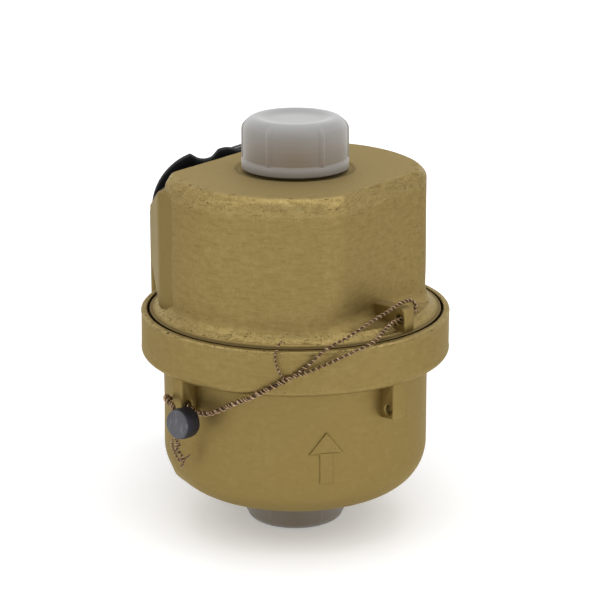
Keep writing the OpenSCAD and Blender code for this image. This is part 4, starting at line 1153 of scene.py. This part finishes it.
# The dark core shows in the gaps between the turns, as painted shade.
GAP_SHADE_WINDS = ([(0.30, 0.28, 2.2, 0.0), (0.30, 0.28, 2.2, math.pi)],
        [(0.05, 0.30, 1.9, 0.0)], [(0.05, 0.18, 1.1, 0.0)])
settle(seal_wire_piece("seal_wire_twisted", COPPER, *WINDING), "meter_body", "seal_wire", "seal_wire")
settle(seal_wire_piece("seal_wire_gap_shade", COPPER_GAP_SHADE, *GAP_SHADE_WINDS), "meter_body", "seal_wire")
settle(lead_seal_shell(), "meter_body", "seal_lead", "lead_seal")
settle(dial_print_piece(), "meter_body", "dial_white")
for wheel in range(1, 7):
    settle(number_print_piece(wheel), f"number_wheel_{wheel}_body", "number_white")

# Solids that show as they are
CAD_FINISH = {
    RUBBER: ("casing_gasket", "cover_seal", "register_gasket", "glass_seal"),
    CREAM: ("inlet_strainer", "measuring_chamber", "chamber_cover", "movement_frame", "transfer_arbor",
            "idler_gear"),
    DARK_PISTON: ("rotary_piston",),
    STEEL: ("partition_plate", "drive_crank", "register_screws", "follower_arbor", "number_axle",
            "lid_hinge_pin"),
    MAGNET: ("drive_magnet", "follower_magnet"),
    WHITE: ("dial_plate", *(f"number_wheel_{i}" for i in range(1, 7))),
    GLASS: ("register_glass",),
}
for finish, shown in CAD_FINISH.items():
    paint(shown, finish)


# Floor and light

def studio():
    floor_z = cad_box[0].z
    bm = bmesh.new()
    size, back, rise, bend = 3.0, 1.6, 2.4, 0.5
    section = [(-size, 0)] + [(back + bend * math.sin(a), bend - bend * math.cos(a))
                              for a in (math.pi / 2 * i / 10 for i in range(11))] + [(back + bend, rise)]
    rows = [[bm.verts.new((x, y, floor_z + z)) for y, z in section] for x in (-size, size)]
    for i in range(len(section) - 1):
        bm.faces.new((rows[0][i], rows[1][i], rows[1][i + 1], rows[0][i + 1]))
    mesh = mesh_from(bm, "studio_floor")
    mesh.shade_smooth()
    material, place = start_finish("pale_floor")
    cloud = place.noise(3, 2.0)
    depth = place.axis("Y")
    near = depth.rise(-0.1, 0.25) * depth.rise(1.5, 1.1)
    # Near the object the floor looks grey to glossy rays: painted shade in the metal's reflections of the
    # floor.
    mirrored = place.node("ShaderNodeLightPath", out="Is Glossy Ray") * near
    colour = (mirrored * 0.8).blend(cloud.blend((0.93, 0.93, 0.93), (0.95, 0.95, 0.95)), (0.5, 0.5, 0.5))
    end_finish(place, {"Base Color": colour, "Roughness": 0.9, "Emission Color": (1, 1, 1),
                       "Emission Strength": 0.2})
    new_piece("studio_floor", mesh, material)

    world = bpy.data.worlds.new("studio")
    bpy.context.scene.world = world
    world.use_nodes = True
    tree = world.node_tree
    tree.nodes.clear()
    air = Value(tree, None)
    seen = [air.node("ShaderNodeLightPath", out=kind)
            for kind in ("Is Camera Ray", "Is Glossy Ray", "Is Transmission Ray")]
    shown = air.maths("MINIMUM", seen[0] + seen[1] + seen[2], 1.0)
    light = air.node("ShaderNodeBackground", None, {"Color": (1, 1, 1), "Strength": 0.85 + shown * 0.15})
    air.node("ShaderNodeOutputWorld", None, {"Surface": light})

    aim = Vector((0, 0, 0.06))
    for name, spot, size, power in (("left_light", (-0.9, -0.45, 0.65), 0.9, 1.5),
                                    ("right_light", (0.9, -0.45, 0.65), 0.9, 2.2),
                                    ("top_light", (0.0, 0.1, 1.2), 1.2, 4.0)):
        lamp = bpy.data.lights.new(name, "AREA")
        lamp.shape, lamp.size, lamp.energy = "SQUARE", size, power
        stand = linked(name, lamp)
        stand.location = spot
        stand.rotation_euler = (aim - Vector(spot)).to_track_quat("-Z", "Y").to_euler()


studio()
